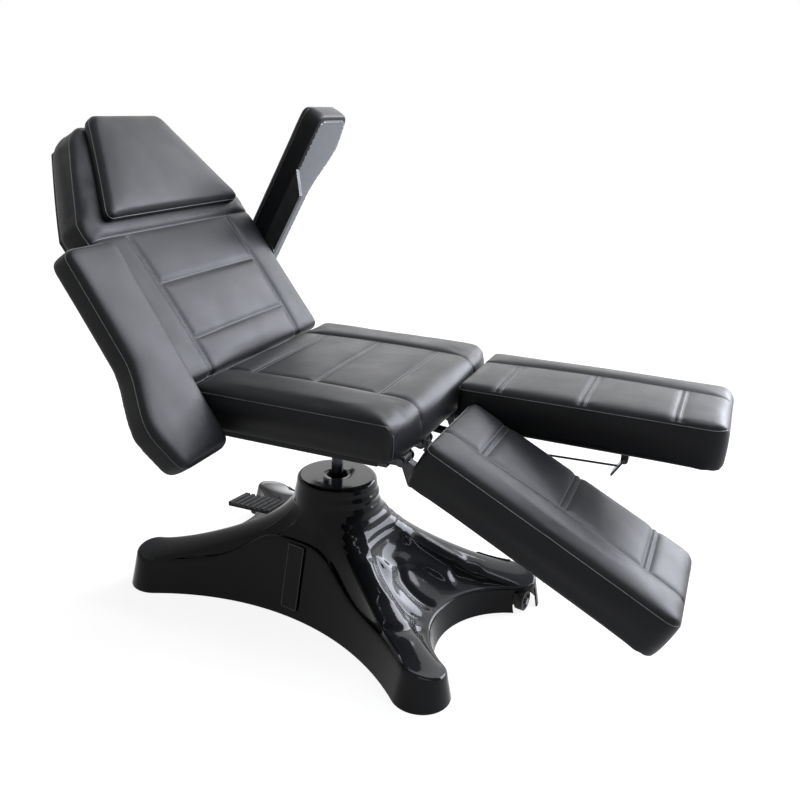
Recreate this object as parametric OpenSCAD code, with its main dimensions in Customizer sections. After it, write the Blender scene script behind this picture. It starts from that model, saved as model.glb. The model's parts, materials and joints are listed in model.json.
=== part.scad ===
// Pedicure chair with split leg rests on a swivelling hydraulic base
// Origin: on the floor, on the axis of the lift column
// +X towards the foot end, +Y towards the far side, +Z up, millimetres

/* [Seat] */
// Height of the top of the seat above the floor
seat_top = 604; // [585:1:660]
// Width of the seat cushion
seat_w = 620; // [580:1:680]
// Rear end of the seat cushion, behind the column axis
seat_rear = 187; // [170:1:190]
// Front end of the seat cushion's sides, ahead of the column axis
seat_front = 257; // [250:1:260]
// Bulge of the middle of the seat's front
seat_nose = 16; // [0:1:18]
// Thickness of the seat cushion
seat_t = 95; // [80:1:105]
// Rounding of the seat's front upper edge
seat_nose_r = 48; // [20:1:60]

/* [Back rest] */
// Angle of the back rest above the horizontal
back_tilt = 52.85; // [40:0.05:60]
// Length of the back cushion from its lower end to the head end
back_l = 632; // [600:1:680]
// Length of the back cushion below its shoulders, where the sides are straight
back_straight = 397; // [380:1:420]
// Thickness of the back cushion
back_t = 76; // [65:1:85]
// Width of the head end of the back cushion
head_w = 316; // [290:1:360]

/* [Head pillow] */
// Length of the pillow
pillow_l = 250; // [200:1:255]
// Width of the pillow at its shoulder end
pillow_w = 512; // [420:1:530]
// Width of the pillow at its head end
pillow_top_w = 244; // [200:1:260]
// Thickness of the pillow at its edge
pillow_t = 35; // [25:1:60]

/* [Leg rests] */
// Length of a leg cushion
leg_l = 562; // [520:1:590]
// Width of a leg cushion
leg_w = 290; // [270:1:300]
// Thickness of a leg cushion
leg_t = 92; // [75:1:105]
// Pitch of the near leg rest below the horizontal
near_pitch = 27; // [0:1:50]
// Pitch of the far leg rest below the horizontal
far_pitch = 0; // [0:1:50]

/* [Arm rests] */
// Length of an arm cushion
arm_l = 470; // [440:1:500]
// Width of an arm cushion at its rear end
arm_w = 148; // [130:1:160]
// Width of an arm cushion across the flared hand end
arm_hand_w = 190; // [170:1:220]
// Thickness of an arm cushion above its board
arm_t = 48; // [40:1:70]
// Angle of the near arm above the horizontal, folded down
near_arm_angle = -56; // [-58:1:30]
// Angle of the far arm above the horizontal, swung up
far_arm_angle = 62.5; // [-50:0.5:66]

/* [Base] */
// Turn of the base against the seat, about the column axis
base_turn = -10; // [-45:1:45]
// Half the distance between the feet along the base
foot_x = 385; // [370:1:410]
// Half the distance between the feet across the base
foot_y = 227; // [220:1:245]
// Radius of a foot lobe
foot_r = 65; // [60:1:75]
// Distance of the middle of an end of the cover from the column axis
end_waist = 318; // [310:1:325]
// Distance of the middle of a side of the cover from the column axis
side_waist = 165; // [160:1:170]
// Height of the cover's rim at the foot end
rim_h = 64; // [60:1:75]
// Height of the cover's rim at the head end
head_rim_h = 102; // [95:1:106]
// Height of the cover's sides at the column
crest_h = 186; // [170:1:195]
// Height of the top of the column cover
column_top = 319; // [312:1:330]
// Radius of the column cover at its top
column_r = 92; // [86:1:98]
// Wall of the moulded covers
cover_wall = 4; // [3:0.5:5]

/* [Lift] */
// Diameter of the lift ram
ram_d = 28; // [25:1:35]
// Outside diameter of the pump cylinder
pump_d = 76; // [70:1:84]
// Height of the seat plate's hub
hub_h = 43; // [38:1:50]
// Running clearance on the radius round rams, pins and rods
run_gap = 0.05; // [0.02:0.01:0.1]

/* [Frame] */
// Square tube of the seat and back frames
tube = 22; // [20:1:24]
// Wall of the square tubes
tube_wall = 2; // [1.5:0.5:3]
// Thickness of the boards under the cushions
board_t = 10; // [8:1:12]
// Diameter of the hinge pins
pin_d = 14; // [12:1:16]

/* [Hidden] */
$fn = 48;
near = -1;
far = 1;
sides = [near, far];
// Overrun of cuts past a face
cut = 1;
// Gap between faces that only meet
seam_gap = 0.4;
// Gap between parts that move past each other
move_gap = 1.5;

// Colours
vinyl = "#2b2c2f";
gloss_black = "#141416";
steel = "#b9bcc0";
black_steel = "#1d1e20";
rubber = "#222224";
ply = "#a5875c";
zinc = "#8d9095";

// Levels of the seat
seat_under = seat_top - seat_t;
board_under = seat_under - board_t;
frame_z = board_under - tube / 2;
frame_under = frame_z - tube / 2;
board_inset = 13;
seat_l = seat_rear + seat_front;

// Seat frame, in plan
rail_y = 235;
rear_tube_x = -174;
front_tube_x = 214;
plate_tube_x = 80;
strut_tube_x = 142;
rail_rear = rear_tube_x - tube / 2;
rail_front = front_tube_x + tube / 2;

// Lift: levels of the base plate, the pump and the seat plate
pad_h = 16;
pad_r = 24;
stud_d = 10;
base_plate_t = 8;
pump_z = pad_h + base_plate_t;
pump_flange_t = 10;
pump_flange_d = 130;
pump_top = 296;
pump_wall = 8;
gland_h = 12;
gland_d = 66;
ram_bottom = 110;
ram_head_h = 14;
hub_d = 60;
plate_t = 8;
plate_w = 200;
plate_z = frame_under - plate_t;
hub_z = plate_z - hub_h;
hub_roof = 9;
ram_top = plate_z - hub_roof;
bolt_d = 10;
bolt_head_d = 17;
bolt_head_h = 6;
pump_bolt_pcd = 106;

// Base frame
arm_tube_h = 30;
arm_tube_start = 84;
foot_angle = atan2(foot_y, foot_x);
foot_dist = norm([foot_x, foot_y]);
arm_tube_over = 14;
arm_tube_end = foot_dist + arm_tube_over;
base_plate_x = 240;
base_plate_y = 190;

// Rollers under the far side of the base
roller_r = 25;
roller_w = 20;
roller_lift = 2;
roller_axle_d = 10;
roller_face_share = 0.72;
roller_hub_share = 0.36;
roller_out = 36;
roller_in = 27;
roller_x = foot_x + roller_out;
roller_y = foot_y - roller_in;
roller_z = roller_r + roller_lift;
bracket_t = 6;
roller_bracket_x = roller_x - roller_w / 2 - move_gap - bracket_t;
roller_bracket_y = 40;
arch_gap = 6;

// Pedal, on the head end side of the base
pedal_y = -10;
pedal_axis_x = -60;
pedal_axis_z = 152;
pedal_bend_x = -140;
pedal_bend_z = 175;
pedal_tip_x = -302;
pedal_tip_z = 157;
pedal_bar_w = 24;
pedal_bar_h = 16;
pedal_tread_h = 8;
pedal_boss_d = 24;
pedal_pin_d = 10;
pedal_pad_l = 158;
pedal_pad_w = 70;
pedal_pad_t = 11;
pedal_ribs = 9;
pedal_rib_depth = 4;
plunger_x = -86;
plunger_d = 12;
plunger_bottom = 92;
plunger_top = 149;
pump_block_z = 70;
pump_block_h = 56;
pump_block_w = 30;
ear_t = 6;

// Column cover and the strip on the near wall
column_lip = 10;
column_hole_r = 25;
ring_step = 6;
step_shares = [0.2, 0.5, 0.6];
strip_x = -17;
strip_w = 46;
strip_t = 3;
strip_out = 2.2;
strip_low = 24;

// Slot of the cover behind the pedal
slot_rear_x = -222;
slot_front_x = -112;
slot_low = 90;
slot_high = 205;
slot_side = 4;

// Leg hinge, in line with the seat frame
leg_axis_x = 247;
leg_axis_z = frame_z;
leg_gap = 10;
leg_y = (leg_w + leg_gap) / 2;
leg_root = 36;
leg_board_rise = 3;
leg_lift = leg_board_rise + board_t;
leg_tube = 20;
leg_tube_y = 55;
leg_tube_mid = leg_lift - board_t - leg_tube / 2;
leg_frame_share = 0.82;
leg_frame_l = leg_l * leg_frame_share;
knuckle_l = 30;
knuckle_wall = 4;
knuckle_d = pin_d + 2 * knuckle_wall;
lug_t = 5;
lug_d = 26;
lug_gap = 2.5;
pin_over = 4;

// Back hinge
back_axis_x = -258;
back_axis_rise = 18;
back_axis_z = board_under + back_axis_rise;
back_root = 30;
back_face = 87;
back_under = back_face - back_t;
back_tube_y = 150;
back_tube_mid = back_under - board_t - tube / 2;
back_frame_l = 540;
back_tubes = [107, 270, 505];
shoulder = 353;
taper_shares = [0.2, 0.9];
hinge_plate_t = 4;
hinge_plate_w = 40;
hinge_arm_drop = 4;

// Struts, isosceles about their hinge, so that both ends turn by half of the hinge
strut_y = leg_y - leg_tube_y;
leg_strut_r = 112;
leg_strut_rear_angle = 200;
leg_strut_fore_angle = -31;
leg_strut_l = 100;
leg_rod_l = 98;
back_strut_r = 112;
back_strut_low_angle = -76;
back_strut_high_angle = 16;
back_strut_l = 118;
back_rod_l = 108;
strut_d = 20;
strut_neck = 15;
strut_floor_share = 0.06;
rod_d = 8;
rod_gap = 0.3;
eye_d = 18;
eye_t = 12;
eye_pin_d = 8;
fork_gap = 1;
fork_t = 4;

// Release levers of the leg struts, in the leg rest's own measures
release_share = 0.708;
release_s = leg_l * release_share;
release_d = -44;
release_tip_back = 24;
release_tip_s = release_s - release_tip_back;
release_tip_d = -84;
release_w = 34;
release_bar_d = 8;
release_ear_w = 16;
release_paddle_t = 5;
pull_fore_back = 12;
pull_fore_s = release_s - pull_fore_back;
pull_fore_d = -55;
pull_rear_s = 120;
pull_rear_d = -64;
pull_d = 5;

// Drop brackets under the leg roots
drop_x = 244;
drop_z = 408;
drop_w = 18;
drop_eye_l = 16;

// Recline lever
recline_x = -150;
recline_hang = 12;
recline_z = frame_under - recline_hang;
recline_l = 62;
recline_drop = 24;
recline_knob_d = 16;
recline_reach = 34;

// Arm pivot, in the back rest's own measures
arm_pivot_s = 270;
arm_pivot_d = 64.5;
arm_rear = 85;
arm_under = 25;
arm_gap = 5;
arm_inner = seat_w / 2 + arm_gap;
arm_bolt_d = 12;
arm_bolt_head_d = 24;
arm_bracket_t = 15;
arm_bracket_drop = 15;
arm_bracket_rear = 70;
arm_bracket_fore = 179;
arm_bracket_end = 233;
arm_flare_start = 288;
arm_flare_end = 372;
arm_tip_in = 24;
arm_flare_lead_share = 0.12;

// Upholstery
crown = 7;
leg_corner_r = 36;
head_corner_r = 45;
pillow_corner_r = 22;
arm_corner_r = 52;
channel_depth = 6;
channel_reach = 18;
side_r = 14;
end_r = 18;
leg_end_r = 25;
draw_in = 4;
bulge = 1.5;
side_pull = 2;
widest_share = 0.3;
bulge_share = 0.4;
edge_shares = [0, 0.05, 0.18, 0.45, 1];
side_shares = [0, 0.12, 0.45, 1];
seam_shares = [-1, -0.4, 0, 0.4, 1];
seat_seams = [65, 213, 358];
seat_side_seam = 178;
back_seams = [87, 225, shoulder];
back_side_seam = 195;
leg_seams = [91, 272, 462];
leg_side_seam = 50;

// Drop of a rounded edge of radius r at a distance e inside it
function edge_drop(e, r) = e >= r ? 0 : r - sqrt(max(0, r * r - (r - e) * (r - e)));

// Depth of a sewn channel at a distance e from its seam
function channel(e) = e >= channel_reach ? 0 : channel_depth * pow(1 - e / channel_reach, 2);

// Distance of u from the nearest of some places
function nearest(u, places) = len(places) == 0 ? seat_w * 2 : min([for (p = places) abs(u - p)]);

// Value between a and b at a share k
function mix(a, b, k) = a + (b - a) * k;

// Share from 0 to 1 that eases in and out between two places
function ease(u, from, to) = let (k = max(0, min(1, (u - from) / (to - from)))) k * k * (3 - 2 * k);

// Places in order, without those that are closer than a least step
function sorted(list) = len(list) <= 1 ? list : let (pivot = list[floor(len(list) / 2)])
    concat(
        sorted([for (a = list) if (a < pivot) a]),
        [for (a = list) if (a == pivot) a],
        sorted([for (a = list) if (a > pivot) a])
    );
function spaced(list, step) = [
    for (i = 0, last = list[0] - 2 * step; i < len(list); last = list[i] - last > step ? list[i] : last, i = i + 1)
        if (list[i] - last > step) list[i]
];

// Grid lines along a pad: close at its rounded ends and at its seams
function pad_rows(length, near_r, far_r, seams, parts) = let (
    ends = concat([for (k = edge_shares) k * near_r], [for (k = edge_shares) length - k * far_r]),
    sewn = [for (s = seams, k = seam_shares) s + k * channel_reach],
    stops = concat([near_r], seams, [length - far_r]),
    plain = [for (i = [0 : len(stops) - 2], k = [1 : parts]) mix(stops[i], stops[i + 1], k / (parts + 1))]
) spaced(sorted(concat(ends, sewn, plain)), seam_gap);

// Shares across a pad of a given width
function pad_columns(width, seams, parts) = let (
    ends = concat([for (k = side_shares) k * side_r], [for (k = side_shares) width - k * side_r]),
    sewn = [for (s = seams, k = seam_shares) s + k * channel_reach],
    stops = concat([side_r], seams, [width - side_r]),
    plain = [for (i = [0 : len(stops) - 2], k = [1 : parts]) mix(stops[i], stops[i + 1], k / (parts + 1))]
) [for (y = spaced(sorted(concat(ends, sewn, plain)), seam_gap)) y / width];

// Cushion on a grid, along x and from its left to its right side, with its underside at zero.
// The top has a crown, rounded edges and sewn channels, and the sides swell and draw in.
module pad(length, left, right, t, near_r, far_r, near_corner, far_corner,
        crown_to = 0, top_crown = crown, seams = [], side_seams = [], nose = 0, rows = 1, columns = 1) {
    width = right(length * widest_share) - left(length * widest_share);
    xs = pad_rows(length, near_r, far_r, seams, rows);
    ws = pad_columns(width, side_seams, columns);
    nx = len(xs);
    nw = len(ws);
    crown_l = crown_to > 0 ? crown_to : length;
    function inset(x) = max(edge_drop(x, near_corner), edge_drop(length - x, far_corner))
        + side_pull * sin(180 * x / length);
    function side(x, w) = mix(left(x) + inset(x), right(x) - inset(x), w);
    function swell(x, w) = x > crown_l ? 0 : top_crown * sin(180 * x / crown_l) * (1 - pow(2 * w - 1, 2));
    function sewn(x, w) = x > crown_l + channel_reach ? 0
        : max(channel(nearest(x, seams)), channel(nearest(w * width, side_seams)));
    function fall(x, w) = max(edge_drop(x, near_r), edge_drop(length - x, far_r),
        edge_drop(w * width, side_r), edge_drop((1 - w) * width, side_r));
    function forward(x, w) = x + nose * pow(x / length, 4) * (1 - pow(abs(2 * w - 1), 3));
    function top(i, j) = let (x = xs[i], w = ws[j]) [
        forward(x, w), side(x, w),
        t + swell(x, w) - max(fall(x, w), min(sewn(x, w), t / 3))
    ];
    loop = concat(
        [for (j = [0 : nw - 1]) [0, j]],
        [for (i = [1 : nx - 1]) [i, nw - 1]],
        [for (j = [1 : nw - 1]) [nx - 1, nw - 1 - j]],
        [for (i = [1 : nx - 2]) [nx - 1 - i, 0]]
    );
    n = len(loop);
    middle = [length / 2, side(length / 2, 0.5)];
    function spread(p, out, z) = let (q = top(p[0], p[1])) [
        mix(middle.x, q.x, 1 + out / middle.x),
        mix(middle.y, q.y, 1 + 2 * out / width),
        min(z, q.z - 1)
    ];
    grid = [for (i = [0 : nx - 1], j = [0 : nw - 1]) top(i, j)];
    low = [for (p = loop) spread(p, bulge, t * bulge_share)];
    base = [for (p = loop) spread(p, -draw_in, 0)];
    low_at = nx * nw;
    base_at = low_at + n;
    function rim(k) = let (p = loop[k % n]) p[0] * nw + p[1];
    polyhedron(
        concat(grid, low, base, [[middle.x, middle.y, 0]]),
        concat(
            [for (i = [0 : nx - 2], j = [0 : nw - 2]) let (a = i * nw + j) [a, a + 1, a + nw + 1]],
            [for (i = [0 : nx - 2], j = [0 : nw - 2]) let (a = i * nw + j) [a, a + nw + 1, a + nw]],
            [for (k = [0 : n - 1]) [rim(k), low_at + k, low_at + (k + 1) % n]],
            [for (k = [0 : n - 1]) [rim(k), low_at + (k + 1) % n, rim(k + 1)]],
            [for (k = [0 : n - 1]) [low_at + k, base_at + k, base_at + (k + 1) % n]],
            [for (k = [0 : n - 1]) [low_at + k, base_at + (k + 1) % n, low_at + (k + 1) % n]],
            [for (k = [0 : n - 1]) [base_at + k, base_at + n, base_at + (k + 1) % n]]
        ),
        convexity = 6
    );
}

// Plate of thickness t from y0 towards +Y, from an outline in x and z
module upright(y0, t) {
    translate([0, y0 + t, 0])
        rotate([90, 0, 0])
            linear_extrude(t)
                children();
}

// Outline of a bar of width w with round ends at p and q
module link(p, q, w) {
    translate(p)
        rotate(atan2(q.y - p.y, q.x - p.x))
            translate([0, -w / 2])
                square([norm(q - p), w]);
    translate(p)
        circle(d = w);
    translate(q)
        circle(d = w);
}

// Round bar along Y, centred on y, through the point p of x and z
module cross_pin(p, d, l, y = 0) {
    translate([p.x, y - l / 2, p.y])
        rotate([-90, 0, 0])
            cylinder(d = d, h = l);
}

// Round bar from p to q, both of x and z, at y
module rod(p, q, d, y = 0) {
    translate([p.x, y, p.y])
        rotate([0, 90 - atan2(q.y - p.y, q.x - p.x), 0])
            cylinder(d = d, h = norm(q - p));
}

// Hollow square tube along X, from x0, with its middle at y and z
module tube_x(x0, l, y, z, size = tube) {
    difference() {
        translate([x0, y - size / 2, z - size / 2])
            cube([l, size, size]);
        translate([x0 - cut, y - size / 2 + tube_wall, z - size / 2 + tube_wall])
            cube([l + 2 * cut, size - 2 * tube_wall, size - 2 * tube_wall]);
    }
}

// Hollow square tube along Y, centred on it, with its middle at x and z
module tube_y(x, l, z, size = tube, y = 0) {
    difference() {
        translate([x - size / 2, y - l / 2, z - size / 2])
            cube([size, l, size]);
        translate([x - size / 2 + tube_wall, y - l / 2 - cut, z - size / 2 + tube_wall])
            cube([size - 2 * tube_wall, l + 2 * cut, size - 2 * tube_wall]);
    }
}

// Places of the moving parts
module base_place() {
    rotate([0, 0, base_turn])
        children();
}

module leg_place(side) {
    translate([leg_axis_x, side * leg_y, leg_axis_z])
        rotate([0, side == near ? near_pitch : far_pitch, 0])
            children();
}

module back_place() {
    translate([back_axis_x, 0, back_axis_z])
        rotate([0, -back_tilt, 180])
            children();
}

// A point of the back rest, s along it from its hinge and d out of it
function back_point(s, d) = [
    back_axis_x - s * cos(back_tilt) + d * sin(back_tilt),
    back_axis_z + s * sin(back_tilt) + d * cos(back_tilt)
];
arm_pivot = back_point(arm_pivot_s, arm_pivot_d);

module arm_place(side) {
    translate([arm_pivot.x, 0, arm_pivot.y])
        rotate([0, side == near ? -near_arm_angle : -far_arm_angle, 0])
            children();
}

// Cover of the base. Its outline has four foot lobes joined by hollow arcs
end_arc_r = (pow(end_waist - foot_x, 2) + foot_y * foot_y - foot_r * foot_r)
    / (2 * (foot_r - end_waist + foot_x));
side_arc_r = (pow(side_waist - foot_y, 2) + foot_x * foot_x - foot_r * foot_r)
    / (2 * (foot_r - side_waist + foot_y));
end_arc_x = end_waist + end_arc_r;
side_arc_y = side_waist + side_arc_r;
end_arc_turn = atan2(foot_y, end_arc_x - foot_x);
side_arc_turn = atan2(foot_x, side_arc_y - foot_y);
end_steps = 6;
foot_steps = 8;
side_steps = 8;
draft_share = 0.2;
rim_round = 7;
foot_rim = 84;
crest_rear = 30;
crest_half = 133;
collar_z = 258;
collar_r = 104;
rise_shares = [0.8, 0.2];
well_floor = 76;
well_shares = [0.3, 0.38, 0.5, 0.62];
top_skin_share = 1.2;

// Points of a quarter of the outline, each with the foot's share of the rim's height there, which
// is below 0 on a side, the share of well and the inward normal
quarter = concat(
    [for (i = [0 : end_steps - 1]) let (k = i / end_steps, a = k * end_arc_turn) [
        end_arc_x - end_arc_r * cos(a), end_arc_r * sin(a), 0, 1 - k * k, [-cos(a), sin(a)]]],
    [for (i = [0 : foot_steps]) let (k = i / foot_steps, a = mix(-end_arc_turn, 90 + side_arc_turn, k)) [
        foot_x + foot_r * cos(a), foot_y + foot_r * sin(a), ease(k, 0, 1), 0,
        [-cos(a), -sin(a)]]],
    [for (i = [1 : side_steps]) let (a = (1 - i / side_steps) * side_arc_turn) [
        side_arc_r * sin(a), side_arc_y - side_arc_r * cos(a), -1, 0, [sin(a), -cos(a)]]]
);
function crest(x) = mix(foot_rim, crest_h, 1 / (1 + pow((x + crest_rear) / crest_half, 4)));
function outline_point(p, sx, sy) = [
    sx * p.x, sy * p.y, p.z < 0 ? crest(sx * p.x) : mix(sx < 0 ? head_rim_h : rim_h, foot_rim, p.z),
    sx < 0 ? p[3] : 0, [sx * p[4].x, sy * p[4].y]
];
function reversed(list) = [for (i = [len(list) - 1 : -1 : 0]) list[i]];
outline = concat(
    [for (i = [0 : len(quarter) - 1]) outline_point(quarter[i], 1, 1)],
    [for (i = [len(quarter) - 2 : -1 : 0]) outline_point(quarter[i], -1, 1)],
    [for (i = [1 : len(quarter) - 1]) outline_point(quarter[i], -1, -1)],
    [for (i = [len(quarter) - 2 : -1 : 1]) outline_point(quarter[i], 1, -1)]
);
spokes = len(outline);

// Rise of the cover's top towards the column, from 0 at the rim to 1 at the collar
function rise(s) = rise_shares[0] * pow(s, 1.5) + rise_shares[1] * pow(s, 10);
// Height of the head end's well: a level shelf inside the rim, a drop and a steep wall up to the rise
function well_height(rim, s) = mix(
    mix(rim, well_floor, ease(s, well_shares[0], well_shares[1])),
    mix(rim, collar_z, rise(s)),
    ease(s, well_shares[2], well_shares[3])
);
ring_shares = [0.1, 0.2, 0.3, 0.38, 0.5, 0.62, 0.72, 0.81, 0.9, 0.96, 1];

// Points of the cover's skin on a spoke: on its upright wall, at its rim and on its top.
// Inner skins lie a wall inside the outer ones
function skin_at(k, in, z) = let (p = outline[k], n = p[4]) [p.x + n.x * in, p.y + n.y * in, z];
function skin_wall(k, wall) = skin_at(k, draft_share * (outline[k].z - rim_round) + wall,
    outline[k].z - rim_round - wall);
function skin_rim(k, wall) = skin_at(k, draft_share * outline[k].z + rim_round + wall, outline[k].z - wall);
function skin_top(k, s, wall) = let (
    p = outline[k], from = skin_rim(k, wall), a = 360 * k / spokes,
    z = mix(mix(p.z, collar_z, rise(s)), well_height(p.z, s), p[3])
) [
    mix(from.x, (collar_r - wall) * cos(a), s), mix(from.y, (collar_r - wall) * sin(a), s),
    s == 1 ? collar_z : z - wall * top_skin_share
];

module base_cover() {
    rings = concat(
        [[for (k = [0 : spokes - 1]) skin_at(k, 0, roller_lift)]],
        [[for (k = [0 : spokes - 1]) skin_wall(k, 0)]],
        [[for (k = [0 : spokes - 1]) skin_rim(k, 0)]],
        [for (s = ring_shares) [for (k = [0 : spokes - 1]) skin_top(k, s, 0)]],
        [for (s = reversed(ring_shares)) [for (k = [0 : spokes - 1]) skin_top(k, s, cover_wall)]],
        [[for (k = [0 : spokes - 1]) skin_rim(k, cover_wall)]],
        [[for (k = [0 : spokes - 1]) skin_wall(k, cover_wall)]],
        [[for (k = [0 : spokes - 1]) skin_at(k, cover_wall, roller_lift)]]
    );
    m = len(rings);
    color(gloss_black)
        base_place()
            difference() {
                polyhedron(
                    [for (r = rings, p = r) p],
                    [for (j = [0 : m - 1], k = [0 : spokes - 1], f = [0, 1]) let (
                        a = j * spokes + k, b = ((j + 1) % m) * spokes + k,
                        c = ((j + 1) % m) * spokes + (k + 1) % spokes, d = j * spokes + (k + 1) % spokes
                    ) f == 0 ? [a, b, c] : [a, c, d]],
                    convexity = 8
                );
                translate([slot_rear_x, pedal_y - pedal_pad_w / 2 - slot_side, slot_low])
                    cube([slot_front_x - slot_rear_x, pedal_pad_w + 2 * slot_side, slot_high - slot_low]);
                for (end = [-1, 1])
                    roller_arch(end);
            }
}

// Arch of the cover round a roller
module roller_arch(end) {
    r = roller_r + arch_gap;
    width = foot_r;
    translate([end > 0 ? roller_bracket_x : -roller_bracket_x - width, 0, 0]) {
        translate([0, roller_y - r, -cut])
            cube([width, 2 * r, roller_z + cut]);
        translate([0, roller_y, roller_z])
            rotate([0, 90, 0])
                cylinder(r = r, h = width);
    }
}

// Cover of the lift column: stepped rings under a flat top disc
module column_cover() {
    inner = collar_r - cover_wall - seam_gap;
    steps = [
        [inner, collar_z - column_lip],
        [inner, collar_z],
        [collar_r, collar_z],
        [collar_r, collar_z + ring_step],
        [mix(collar_r, column_r, step_shares[0]), collar_z + 3 * ring_step / 2],
        [mix(collar_r, column_r, step_shares[0]), mix(collar_z, column_top, step_shares[1])],
        [mix(collar_r, column_r, step_shares[1]), mix(collar_z, column_top, step_shares[2])],
        [mix(collar_r, column_r, step_shares[2]), column_top - ring_step],
        [column_r, column_top - ring_step / 2],
        [column_r - ring_step / 2, column_top],
        [column_hole_r, column_top],
        [column_hole_r, column_top - cover_wall],
        [column_r - cover_wall, column_top - cover_wall],
        [column_r - cover_wall, column_top - 2 * ring_step],
        [inner - cover_wall, collar_z + ring_step],
        [inner - cover_wall, collar_z - column_lip]
    ];
    color(gloss_black)
        rotate_extrude()
            polygon(steps);
}

// Blanking strip on the near wall of the cover
module slot_strip() {
    lean = atan(draft_share);
    color(gloss_black)
        base_place()
            translate([strip_x - strip_w / 2, -side_waist + draft_share * strip_low - strip_out, strip_low])
                rotate([-lean, 0, 0])
                    translate([0, -strip_t, 0])
                        cube([strip_w, strip_t, (crest_h - rim_round - strip_low) / cos(lean)]);
}

// Welded frame inside the cover: a base plate with four arms to the feet
module base_frame() {
    color(black_steel)
        base_place()
            difference() {
                union() {
                    translate([-base_plate_x / 2, -base_plate_y / 2, pad_h])
                        cube([base_plate_x, base_plate_y, base_plate_t]);
                    for (end = [0, 180], turn = [-foot_angle, foot_angle])
                        rotate([0, 0, end + turn])
                            tube_x(arm_tube_start, arm_tube_end - arm_tube_start, 0, pad_h + arm_tube_h / 2,
                                arm_tube_h);
                    for (end = [-1, 1])
                        roller_bracket(end);
                }
                for (x = [-foot_x, foot_x], y = [-foot_y, foot_y])
                    translate([x, y, pad_h - cut])
                        cylinder(d = stud_d + 2 * seam_gap, h = arm_tube_h / 2);
                for (end = [-1, 1])
                    roller_pin(end, roller_axle_d + 2 * run_gap);
                for (a = [45 : 90 : 315])
                    rotate([0, 0, a])
                        translate([pump_bolt_pcd / 2, 0, pad_h - cut])
                            cylinder(d = bolt_d + 2 * run_gap, h = base_plate_t + 2 * cut);
            }
}

module roller_bracket(end) {
    translate([end > 0 ? roller_bracket_x : -roller_bracket_x - bracket_t, roller_y - roller_bracket_y / 3,
        pad_h])
        cube([bracket_t, roller_bracket_y, arm_tube_h]);
}

// Axle of a roller, in its bracket
module roller_pin(end, d) {
    start = roller_bracket_x - cut;
    length = bracket_t + move_gap + roller_w + move_gap + cut;
    translate([end > 0 ? start : -start, roller_y, roller_z])
        rotate([0, end * 90, 0])
            cylinder(d = d, h = length);
}

module roller_axles() {
    color(zinc)
        base_place()
            for (end = [-1, 1]) {
                roller_pin(end, roller_axle_d);
                translate([end * (roller_x + roller_w / 2 + move_gap), roller_y, roller_z])
                    rotate([0, end * 90, 0])
                        cylinder(d = roller_axle_d + bracket_t, h = bracket_t / 2);
            }
}

// Rubber roller that the base is wheeled on when its far side is tipped down
module roller(end) {
    recess = bracket_t / 2;
    color(rubber)
        base_place()
            translate([end * roller_x, roller_y, roller_z])
                rotate([0, 90, 0])
                    difference() {
                        cylinder(r = roller_r, h = roller_w, center = true);
                        cylinder(d = roller_axle_d + 2 * run_gap, h = roller_w + 2 * cut, center = true);
                        for (face = [-1, 1])
                            translate([0, 0, face * (roller_w - recess) / 2])
                                difference() {
                                    cylinder(r = roller_r * roller_face_share, h = recess + seam_gap,
                                        center = true);
                                    cylinder(r = roller_r * roller_hub_share, h = 2 * recess + cut,
                                        center = true);
                                }
                    }
}

module foot_end_roller() {
    roller(1);
}

module head_end_roller() {
    roller(-1);
}

// Floor pads with studs in the ends of the frame's arms
module floor_pads() {
    color(rubber)
        base_place()
            for (x = [-foot_x, foot_x], y = [-foot_y, foot_y])
                translate([x, y, 0]) {
                    cylinder(r = pad_r, h = pad_h);
                    cylinder(d = stud_d, h = pad_h + arm_tube_h / 3);
                }
}

// Pump cylinder with its flange, its pedal bracket and its plunger block
module pump_cylinder() {
    block_front = -pump_d / 2 + pump_wall / 2;
    block_rear = plunger_x - plunger_d;
    color(zinc)
        difference() {
            union() {
                translate([0, 0, pump_z])
                    cylinder(d = pump_flange_d, h = pump_flange_t);
                translate([0, 0, pump_z])
                    cylinder(d = pump_d, h = pump_top - pump_z);
                base_place() {
                    translate([block_rear, pedal_y - pump_block_w / 2, pump_block_z])
                        cube([block_front - block_rear, pump_block_w, pump_block_h]);
                    for (side = sides)
                        upright(pedal_y + side * (pedal_bar_w / 2 + move_gap) + (side < 0 ? -ear_t : 0), ear_t) {
                            circle_at([pedal_axis_x, pedal_axis_z], pedal_boss_d);
                            translate([pedal_axis_x - pedal_boss_d / 2, pump_block_z + pump_block_h / 2])
                                square([block_front - pedal_axis_x + pedal_boss_d / 2,
                                    pedal_axis_z - pump_block_z - pump_block_h / 2]);
                        }
                }
            }
            translate([0, 0, pump_z + pump_flange_t])
                cylinder(d = pump_d - 2 * pump_wall, h = pump_top);
            base_place() {
                translate([plunger_x, pedal_y, plunger_bottom - plunger_d])
                    cylinder(d = plunger_d + 2 * run_gap, h = pump_block_h);
                cross_pin([pedal_axis_x, pedal_axis_z], pedal_pin_d + 2 * run_gap, pump_d, pedal_y);
                for (a = [45 : 90 : 315])
                    rotate([0, 0, a])
                        translate([pump_bolt_pcd / 2, 0, pump_z - cut])
                            cylinder(d = bolt_d + 2 * run_gap, h = pump_flange_t + 2 * cut);
            }
        }
}

// Guide ring of the ram, on top of the cylinder
module pump_gland() {
    spigot_d = pump_d - 2 * pump_wall - 2 * seam_gap;
    color(zinc)
        difference() {
            union() {
                translate([0, 0, pump_top])
                    cylinder(d = gland_d, h = gland_h);
                translate([0, 0, pump_top - gland_h])
                    cylinder(d = spigot_d, h = gland_h);
            }
            translate([0, 0, pump_top - gland_h - cut])
                cylinder(d = ram_d + 2 * run_gap, h = 2 * gland_h + 2 * cut);
        }
}

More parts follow.
